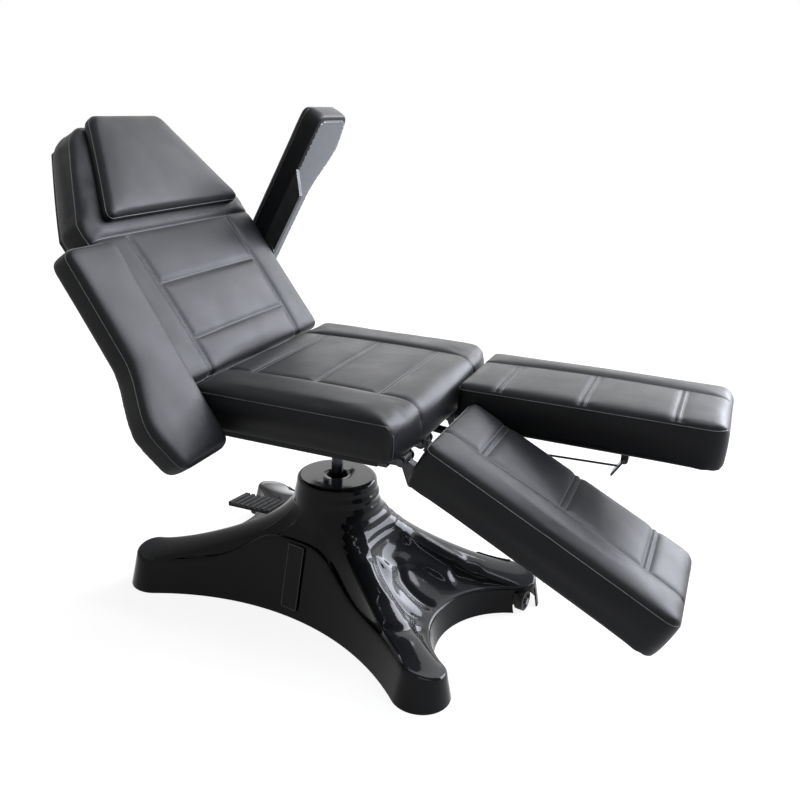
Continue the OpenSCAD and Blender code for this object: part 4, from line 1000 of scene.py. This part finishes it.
@dataclass
class Upholstery:
    """All pads of the chair, each in the place of its hinge."""

    width: float = 0.620
    seat_rear: float = 0.197
    seat_front: float = 0.257
    seat_t: float = 0.095
    seat_top: float = 0.604
    seat_border: float = 0.178
    seat_rows: tuple[float, ...] = (0.075, 0.223, 0.368)
    leg_l: float = 0.562
    leg_w: float = 0.290
    leg_t: float = 0.102
    leg_root: float = 0.036
    leg_lift: float = 0.003
    leg_line: float = 0.050
    leg_rows: tuple[float, ...] = (0.091, 0.272, 0.462)
    near_pitch: float = 27.0
    far_pitch: float = 0.0
    back_tilt: float = 52.85
    back_l: float = 0.632
    back_straight: float = 0.397
    back_t: float = 0.076
    back_root: float = 0.030
    back_face: float = 0.087
    back_border: float = 0.195
    back_rows: tuple[float, ...] = (0.087, 0.225)
    shoulder: float = 0.353
    head_w: float = 0.316
    pillow_l: float = 0.250
    pillow_w: float = 0.512
    pillow_top_w: float = 0.244
    pillow_t: float = 0.035

    def seat(self) -> Pad:
        """The seat, with three rows of sewing between two borders that run over its front."""
        length, border, half = self.seat_rear + self.seat_front, self.seat_border, self.width / 2
        rows = tuple(Seam((x, -border), (x, border), Sewing.DOUBLE, 0.007) for x in self.seat_rows)
        borders = tuple(Seam((-0.02, side * border), (length + 0.05, side * border)) for side in (-1, 1))
        return Pad("seat_cover", ("seat_cushion",), "seat",
                   Matrix.Translation((-self.seat_rear, 0, self.seat_top - self.seat_t)),
                   length, self.seat_t, straight(-half), straight(half), (0.018, 0.038),
                   nose=0.016, seams=rows + borders, edge=Edge.SIDES, voxel=0.006)

    def leg(self, side: int) -> Pad:
        """A leg rest: double rows of sewing on the inner side of one long seam."""
        name, pitch = ("near", self.near_pitch) if side < 0 else ("far", self.far_pitch)
        hinge = joint_place(f"{name}_leg_hinge")
        place = (Matrix.Translation((hinge.x, side * 0.150, hinge.z))
                 @ Matrix.Rotation(math.radians(pitch), 4, "Y")
                 @ Matrix.Translation((self.leg_root, 0, self.leg_lift)))
        line, half = side * self.leg_line, self.leg_w / 2
        rows = tuple(Seam((x, line), (x, -side * (half - 0.005)), Sewing.DOUBLE, 0.013)
                     for x in self.leg_rows)
        along = Seam((-0.02, line), (self.leg_l + 0.02, line))
        return Pad(f"{name}_leg_cover", (f"{name}_leg_cushion", f"{name}_leg_board"), f"{name}_leg", place,
                   self.leg_l, self.leg_t, straight(-half), straight(half), (0.012, 0.025),
                   (0.014, 0.036), seams=rows + (along,), crease_down=0.35, draw_in=0.0015)

    def back_place(self, s: float, d: float) -> Matrix:
        """The back rest's own frame, s along it from the hinge and d out of its face."""
        hinge = joint_place("back_hinge")
        return (Matrix.Translation((hinge.x, 0, hinge.z)) @ Matrix.Rotation(math.pi, 4, "Z")
                @ Matrix.Rotation(math.radians(-self.back_tilt), 4, "Y") @ Matrix.Translation((s, 0, d)))

    def back_half(self, x: Array) -> Array:
        """Half the back rest's width at x: straight, then tapering to the head end."""
        past = (x - self.back_straight) / (self.back_l - self.back_straight)
        share = 0.2 * ease((x - self.back_straight) / 2, 0, self.back_l - self.back_straight) + 0.9 * past
        return np.where(x < self.back_straight, self.width / 2, mix(self.width / 2, self.head_w / 2, share))

    def back(self) -> Pad:
        """The back rest: two top-stitched rows between borders, and a seam across the shoulders."""
        border, half = self.back_border, self.width / 2
        rows = tuple(Seam((x, -border), (x, border), Sewing.TOP_STITCHED) for x in self.back_rows)
        shoulder = Seam((self.shoulder, -half - 0.004), (self.shoulder, half + 0.004))
        borders = tuple(Seam((-0.01, side * border), (self.shoulder, side * border), Sewing.DOUBLE, 0.008)
                        for side in (-1, 1))
        return Pad("back_cover", ("back_cushion",), "back",
                   self.back_place(self.back_root, self.back_face - self.back_t),
                   self.back_l, self.back_t, lambda x: -self.back_half(x), self.back_half,
                   corners=(0.014, 0.045), crown_to=self.shoulder,
                   seams=rows + borders + (shoulder,), voxel=0.006)

    def pillow(self) -> Pad:
        """The head pillow, a trapezoid with piping round its face."""
        def half(x: Array) -> Array:
            return mix(self.pillow_w, self.pillow_top_w, x / self.pillow_l) / 2
        gap = 0.0004
        return Pad("head_pillow_cover", ("head_pillow",), "pillow",
                   self.back_place(self.back_l + self.back_root - self.pillow_l - gap, self.back_face + gap),
                   self.pillow_l, self.pillow_t, lambda x: -half(x), half, (0.014, 0.014),
                   (0.022, 0.022), swell=0.004, firmness=1.0, evening=60, fill=0.9, voxel=0.005)

    def build(self) -> None:
        """Makes the pads."""
        for pad in (self.seat(), self.leg(-1), self.leg(1), self.back(), self.pillow()):
            pad.build()


@dataclass
class ArmRest:
    """An arm rest: a pad wrapped round its board, with a stapled lining under it."""

    side: int
    length: float = 0.470
    rear: float = 0.085
    inner: float = 0.315
    width: float = 0.148
    hand_width: float = 0.190
    flare_start: float = 0.288
    flare_end: float = 0.372
    tip_in: float = 0.024
    under: float = 0.025
    top: float = 0.083
    near_angle: float = -56.0
    far_angle: float = 62.5

    @property
    def name(self) -> str:
        """Which arm rest it is."""
        return "near" if self.side < 0 else "far"

    def place(self, h: float) -> Matrix:
        """The arm rest's own frame: x along it from its rear end, z out of its face."""
        pivot = joint_place(f"{self.name}_arm_hinge")
        angle = self.near_angle if self.side < 0 else self.far_angle
        return (Matrix.Translation((pivot.x, 0, pivot.z)) @ Matrix.Rotation(math.radians(-angle), 4, "Y")
                @ Matrix.Translation((-self.rear, 0, h)))

    def reach(self, x: Array) -> Array:
        """Width of the arm rest at x, which flares towards the hand and comes in at its tip."""
        swell = ease(x, self.flare_start - self.length * 0.12, self.flare_end)
        tip = ease(x, self.flare_end, self.length)
        return self.width + (self.hand_width - self.width) * swell - self.tip_in * tip

    def sides(self, inset: float) -> tuple[Width, Width]:
        """The left and right sides, each an inset inside the outline."""
        def outer(x: Array) -> Array:
            return self.side * (self.inner + self.reach(x) - inset)
        inner = straight(self.side * (self.inner + inset))
        return (outer, inner) if self.side < 0 else (inner, outer)

    def build(self) -> None:
        """Makes the pad, the lining and its staples."""
        left, right = self.sides(0)
        pad = Pad(f"{self.name}_arm_cover", (f"{self.name}_arm_cushion", f"{self.name}_arm_board"),
                  f"{self.name}_arm", self.place(self.under), self.length, self.top - self.under,
                  left, right, (0.014, 0.016), (0.024, 0.026), crown=0.004, swell=0.0025, firmness=1.0,
                  evening=60, fill=0.9, voxel=0.005, draw_in=0.003, bulge=0.0)
        pad.build()
        self.lining()

    def lining(self) -> None:
        """The lining under the board, a thin sheet on the wrapped edges, and the staples that hold it."""
        inset, thick, sagging = 0.014, 0.0008, 0.0012
        left, right = self.sides(inset)
        x = np.linspace(inset, self.length - inset, 70)
        corner = np.maximum(edge_drop(x - inset, 0.016), edge_drop(self.length - inset - x, 0.018))
        low, high = left(x) + corner, right(x) - corner
        share = np.linspace(0, 1, 24)
        grid_x = np.repeat(x[:, None], len(share), 1)
        grid_y = mix(low[:, None], high[:, None], share[None])
        along = np.sin(math.pi * (x - inset) / (self.length - 2 * inset))
        sag = sagging * np.sin(math.pi * share)[None] * along[:, None]
        top = np.stack([grid_x, grid_y, -0.0002 - sag], -1)
        bottom = top - np.array([0, 0, thick])
        made = Surface()
        count = top.shape[0] * top.shape[1]
        index = np.arange(count).reshape(top.shape[:2])
        loop = np.concatenate([index[0, :-1], index[:-1, -1], index[-1, :0:-1], index[:0:-1, 0]])
        edge = np.stack([loop, np.roll(loop, -1), np.roll(loop, -1) + count, loop + count], -1)
        made.add(np.concatenate([top.reshape(-1, 3), bottom.reshape(-1, 3)]),
                 grid_faces(*top.shape[:2]), grid_faces(*top.shape[:2])[:, ::-1] + count, edge)
        place = self.place(self.under)
        sheet = made.moved(place).build(f"{self.name}_arm_lining")
        dress(sheet, LINING, f"{self.name}_arm")
        wide = float(np.abs(right(x) - left(x)).max())
        path = bottom.reshape(-1, 3)[loop]
        middle = path.mean(0)
        path = path + (middle - path) * 0.02 - np.array([0, 0, 0.0003])
        down = np.tile([0.0, 0.0, -1.0], (len(path), 1))
        staples = dashes(path, down, 0.016, 0.009, 0.0006)
        pinned = staples.moved(place).build(f"{self.name}_arm_staples")
        dress(pinned, CHROME, f"{self.name}_arm")


# --- base


@dataclass(frozen=True)
class Fold:
    """A soft fold of the moulding along a line of its plan: a ridge, or a groove below zero."""

    height: float
    widths: tuple[float, float]
    line: tuple[tuple[float, float], ...]

    def rise(self, plan: Array) -> Array:
        """Height at points of the plan: exp(-(d/w)^2) of the distance d to the line, faded at its ends.

        The line is a cubic through its points, sampled closely, and w differs on its two sides.
        """
        points = np.array(self.line)
        reach = np.concatenate([[0], np.cumsum(np.linalg.norm(np.diff(points, axis=0), axis=1))])
        share = np.linspace(0, 1, 60)
        degree = min(3, len(points) - 1)
        fitted = np.stack([np.polyval(np.polyfit(reach / reach[-1], points[:, i], degree), share)
                           for i in (0, 1)], -1)
        away = plan[..., None, :] - fitted
        distance = np.linalg.norm(away, axis=-1)
        nearest = distance.argmin(-1)
        along = np.gradient(fitted, axis=0)[nearest]
        off = np.take_along_axis(away, nearest[..., None, None], -2)[..., 0, :]
        left = along[..., 0] * off[..., 1] - along[..., 1] * off[..., 0] > 0
        width = np.where(left, self.widths[0], self.widths[1])
        window = ease(share, 0, 0.22) * (1 - ease(share, 0.78, 1))
        return self.height * np.exp(-((distance.min(-1) / width) ** 2)) * window[nearest]


@dataclass
class BaseShell:
    """The one-piece moulding of the base: four foot lobes, hollow arcs between, and the column."""

    foot_x: float = 0.385
    foot_y: float = 0.227
    foot_r: float = 0.065
    end_waist: float = 0.318
    side_waist: float = 0.165
    rim_h: float = 0.064
    head_rim_h: float = 0.102
    foot_rim: float = 0.084
    crest_h: float = 0.186
    crest_middle: float = -0.030
    crest_half: float = 0.133
    well_floor: float = 0.076
    collar_z: float = 0.258
    collar_r: float = 0.104
    column_top: float = 0.319
    disc_r: float = 0.085
    disc_roll: float = 0.009
    hole_r: float = 0.025
    draft: float = 0.2
    rim_round: float = 0.007
    wall: float = 0.004
    turn: float = -10.0
    counts: tuple[int, int, int] = (30, 28, 20)
    spans: tuple[float, float, float] = (24.5455, 32.7273, 32.7273)
    ring_pitch: float = 0.0515
    ring_height: float = 0.0034
    slot: tuple[tuple[float, float], ...] = ((-0.222, -0.112), (-0.049, 0.029), (0.090, 0.205))
    arches: tuple[tuple[float, float], ...] = ((0.404, 0.475), (-0.475, -0.404))
    arch_y: tuple[float, float] = (0.169, 0.231)
    arch_z: tuple[float, float] = (-0.02, 0.058)
    folds: tuple[Fold, ...] = (
        Fold(0.007, (0.013, 0.026), ((0.146, -0.080), (0.176, -0.104), (0.208, -0.122), (0.254, -0.136))),
        Fold(-0.007, (0.014, 0.017), ((0.146, -0.030), (0.172, -0.066), (0.200, -0.094), (0.236, -0.106),
                                      (0.264, -0.092), (0.306, -0.070))),
        Fold(0.006, (0.018, 0.013), ((0.216, -0.078), (0.192, -0.046), (0.181, -0.006), (0.186, 0.034),
                                     (0.204, 0.056), (0.240, 0.070), (0.308, 0.090))),
        Fold(-0.007, (0.014, 0.016), ((0.190, 0.020), (0.190, -0.008), (0.208, -0.024), (0.240, -0.024),
                                      (0.300, -0.006))),
        Fold(-0.005, (0.018, 0.018), ((0.166, -0.052), (0.158, -0.010), (0.156, 0.030), (0.172, 0.076))),
        Fold(-0.006, (0.018, 0.018), ((0.262, 0.098), (0.292, 0.124), (0.334, 0.160))),
        Fold(0.005, (0.010, 0.014), ((0.160, 0.092), (0.196, 0.112), (0.246, 0.132), (0.290, 0.160))),
        Fold(-0.005, (0.010, 0.014), ((0.262, -0.208), (0.292, -0.196), (0.312, -0.160), (0.308, -0.096))),
    )

    def quarter(self) -> Array:
        """A quarter of the outline, from the foot end to the far side.

        Returns:
            For each point x, y, the foot's share of the rim (below 0 on a side), the well's share, the
            inward normal's x and y, and the angle in degrees at which its column stands.
        """
        fx, fy, fr = self.foot_x, self.foot_y, self.foot_r
        end_r = ((self.end_waist - fx) ** 2 + fy**2 - fr**2) / (2 * (fr - self.end_waist + fx))
        side_r = ((self.side_waist - fy) ** 2 + fx**2 - fr**2) / (2 * (fr - self.side_waist + fy))
        end_x, side_y = self.end_waist + end_r, self.side_waist + side_r
        end_turn, side_turn = math.atan2(fy, end_x - fx), math.atan2(fx, side_y - fy)
        k = [np.arange(n) / n for n in self.counts]
        a = k[0] * end_turn
        zero = np.zeros_like
        end = np.stack([end_x - end_r * np.cos(a), end_r * np.sin(a), zero(a), 1 - k[0] ** 2,
                        -np.cos(a), np.sin(a), k[0] * self.spans[0]], -1)
        a = mix(-end_turn, math.pi / 2 + side_turn, k[1])
        foot = np.stack([fx + fr * np.cos(a), fy + fr * np.sin(a), ease(k[1], 0, 1), zero(a),
                         -np.cos(a), -np.sin(a), self.spans[0] + k[1] * self.spans[1]], -1)
        share = np.append(k[2], 1.0)
        a = (1 - share) * side_turn
        flank = np.stack([side_r * np.sin(a), side_y - side_r * np.cos(a), zero(a) - 1, zero(a),
                          np.sin(a), -np.cos(a), 90 - (1 - share) * self.spans[2]], -1)
        return np.concatenate([end, foot, flank])

    def outline(self) -> Array:
        """The whole outline, from four mirrored quarters, with the height of the rim or the crest."""
        q = self.quarter()
        second, third, fourth = q[-2::-1].copy(), q[1:].copy(), q[-2:0:-1].copy()
        second[:, [0, 4]] *= -1
        second[:, 6] = 180 - second[:, 6]
        third[:, [0, 1, 4, 5]] *= -1
        third[:, 6] += 180
        fourth[:, [1, 5]] *= -1
        fourth[:, 6] = 360 - fourth[:, 6]
        whole = np.concatenate([q, second, third, fourth])
        crest_share = 1 / (1 + ((whole[:, 0] - self.crest_middle) / self.crest_half) ** 4)
        crest = mix(self.foot_rim, self.crest_h, crest_share)
        end = np.where(whole[:, 0] < 0, self.head_rim_h, self.rim_h)
        whole[:, 2] = np.where(whole[:, 2] < 0, crest, mix(end, self.foot_rim, whole[:, 2]))
        whole[:, 3] = np.where(whole[:, 0] < 0, whole[:, 3], 0)
        return whole

    def top(self, rim: Array, well: Array, s: float) -> Array:
        """Height of the top at the share s: rim + (0.8 s^1.5 + 0.2 s^10) of the way to the collar.

        In the head end's well a level shelf stands inside the rim, then a drop and a steep wall.
        """
        common = mix(rim, self.collar_z, 0.8 * s**1.5 + 0.2 * s**10)
        low = mix(rim, self.well_floor, ease(s, 0.30, 0.38))
        return mix(common, mix(low, common, ease(s, 0.50, 0.62)), well)

    def ring(self, turn: Array) -> Array:
        """Height of the soft rings round the column: full at the foot end, and gone at the head end."""
        return self.ring_height * np.exp(-(((turn - 8) / 46) ** 2))

    def rows(self) -> Array:
        """All rows of the skin, from the wall's foot to the hole in the column's top."""
        p = self.outline()
        xy, z, well, inward, angle = p[:, :2], p[:, 2], p[:, 3], p[:, 4:6], np.radians(p[:, 6])
        made = []
        for share in np.linspace(0, 1, 7):
            height = mix(0.002, z - self.rim_round, share)
            made.append(np.column_stack([xy + inward * (self.draft * height)[:, None], height]))
        start = self.draft * (z - self.rim_round)
        for turn in np.linspace(0, math.pi / 2, 6)[1:]:
            offset = (start + self.rim_round * (1 - math.cos(turn))
                      + self.rim_round * self.draft * math.sin(turn))
            made.append(np.column_stack([xy + inward * offset[:, None],
                                         z - self.rim_round * (1 - math.sin(turn))]))
        rim = made[-1][:, :2]
        outwards = np.stack([np.cos(angle), np.sin(angle)], -1)
        turn = (np.degrees(angle) + 180) % 360 - 180
        shares = 1 - (1 - np.linspace(0, 1, 74)[1:]) ** 1.25
        plan = mix(rim, self.collar_r * outwards, shares[:, None, None])
        lift = sum(fold.rise(plan) for fold in self.folds)
        wave = np.cos(math.pi * (shares - 1) / self.ring_pitch) ** 2 * ease(shares, 0.79, 0.84)
        ring = wave[:, None] * self.ring(turn)
        height = np.stack([self.top(z, well, s) for s in shares])
        plan = plan + outwards * (0.5 * lift + ring)[..., None]
        made += list(np.concatenate([plan, (height + 0.7 * lift)[..., None]], -1))
        return np.stack(made + self.column(outwards, turn))

    def column(self, outwards: Array, turn: Array) -> list[Array]:
        """Rows of the column above the collar: soft rings, a cone, a rolled edge and a flat disc."""
        height = np.linspace(self.collar_z, self.column_top - self.disc_roll, 22)[1:]
        share = (height - self.collar_z) / (self.column_top - self.collar_z)
        wave = np.cos(math.pi * (height - self.collar_z) / 0.025) ** 2 * (1 - ease(share, 0.55, 0.85))
        radius = mix(self.collar_r, self.disc_r + self.disc_roll, share)
        rows = [(r + w * self.ring(turn), h) for r, w, h in zip(radius, wave, height)]
        bend = np.linspace(0, math.pi / 2, 7)[1:]
        rows += [(radius[-1] - self.disc_roll * (1 - math.cos(t)), height[-1] + self.disc_roll * math.sin(t))
                 for t in bend]
        rows += [(r, self.column_top) for r in np.linspace(self.disc_r - 0.003, self.hole_r + 0.002, 7)]
        rows += [(self.hole_r + 0.002 * (1 - math.sin(t)), self.column_top - 0.002 * (1 - math.cos(t)))
                 for t in bend[1::2]]
        rows.append((self.hole_r, self.column_top - 0.008))
        return [np.column_stack([outwards * np.broadcast_to(r, len(turn))[:, None], np.full(len(turn), h)])
                for r, h in rows]

    def build(self) -> None:
        """Makes the moulding: the skin, its wall, the pedal's slot and the roller arches."""
        rows = self.rows()
        skin = Surface()
        skin.add(rows, grid_faces(rows.shape[0], rows.shape[1], wrap_columns=True))
        made = skin.build("base_moulding")
        thick = made.modifiers.new("wall", "SOLIDIFY")
        thick.thickness, thick.offset = self.wall, -1
        cutters = [self.cutter(*self.slot)]
        cutters += [self.cutter(x, self.arch_y, self.arch_z) for x in self.arches]
        for cutter in cutters:
            cut = made.modifiers.new("opening", "BOOLEAN")
            cut.operation, cut.solver, cut.object = "DIFFERENCE", "EXACT", cutter
        evaluated(made)
        for cutter in cutters:
            bpy.data.objects.remove(cutter)
        made.data.transform(Matrix.Rotation(math.radians(self.turn), 4, "Z"))
        made.data.shade_smooth()
        made.data.set_sharp_from_angle(angle=math.radians(40))
        dress(made, GEL_COAT, "base")
        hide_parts("base_cover", "column_cover")
        self.strip()

    def cutter(self, x: tuple, y: tuple, z: tuple) -> Object:
        """A block with rounded edges that cuts an opening."""
        corners = np.array([[i, j, k] for i in x for j in y for k in z])
        block = Surface()
        block.add(corners, np.array([
            [0, 1, 3, 2], [4, 6, 7, 5], [0, 4, 5, 1], [2, 3, 7, 6], [0, 2, 6, 4], [1, 5, 7, 3]]))
        made = block.build("cutter")
        soft = made.modifiers.new("soft_edges", "BEVEL")
        soft.width, soft.segments = 0.012, 4
        evaluated(made)
        return made

    def strip(self) -> None:
        """A lighter bead round the blanking strip on the near wall, which leans back by the draft: its grey
        is a painted highlight along the strip's edge.
        """
        middles = np.array([[-0.0345, 0.0305], [0.0005, 0.0305], [0.0005, 0.1735], [-0.0345, 0.1735]])
        turns = np.radians(np.add.outer([180, 270, 0, 90], np.linspace(0, 90, 4)).ravel())
        ring = np.repeat(middles, 4, axis=0) + 0.004 * np.stack([np.cos(turns), np.sin(turns)], -1)
        back = -0.1653 + self.draft * (ring[:, 1] - 0.0246)
        path = np.stack([ring[:, 0], back, ring[:, 1]], -1)
        bead = tube(path, np.tile((0.0, -0.98, 0.2), (len(path), 1)), 0.0011, closed=True)
        made = bead.moved(Matrix.Rotation(math.radians(self.turn), 4, "Z")).build("strip_painted_highlight_bead")
        dress(made, PAINTED_HIGHLIGHT_BEAD, "base")


@dataclass
class Metalwork:
    """Finishes of the frame's own nodes."""

    def build(self) -> None:
        """Dresses every node that no piece replaces."""
        dress_nodes(GEL_COAT, "slot_strip", "recline_lever", "near_strut_body", "far_strut_body",
                    "back_strut_body")
        dress_nodes(POWDER, "base_frame", "pedal_lever", "seat_plate", "seat_rails", "seat_cross_tubes",
                    "seat_lugs", "near_leg_frame", "far_leg_frame", "near_pull_rod", "far_pull_rod",
                    "back_frame", "near_arm_bracket", "far_arm_bracket")
        dress_nodes(CHROME, "arm_bolts", "pump_plunger", "near_strut_rod", "far_strut_rod", "back_strut_rod")
        dress_nodes(BLACK_OXIDE, "lift_ram", "leg_pins", "back_pins", "pedal_pin")
        dress_nodes(ZINC, "pump_cylinder", "pump_gland", "pump_bolts", "plate_bolts", "roller_axles",
                    "near_release_lever", "far_release_lever")
        dress_nodes(RUBBER, "floor_pads", "pedal_pad", "foot_end_roller", "head_end_roller")
        dress_nodes(BOARD_LINING, "seat_board", "back_board")


def main() -> None:
    """Builds the chair and its studio."""
    logging.basicConfig(level=logging.INFO, format="%(name)s %(message)s")
    scene = bpy.context.scene
    scene.view_settings.view_transform = "Standard"
    studio = Studio()
    studio.camera()
    BaseShell().build()
    Upholstery().build()
    for side in (-1, 1):
        ArmRest(side).build()
    Metalwork().build()
    studio.build()


if __name__ == "__main__":
    main()
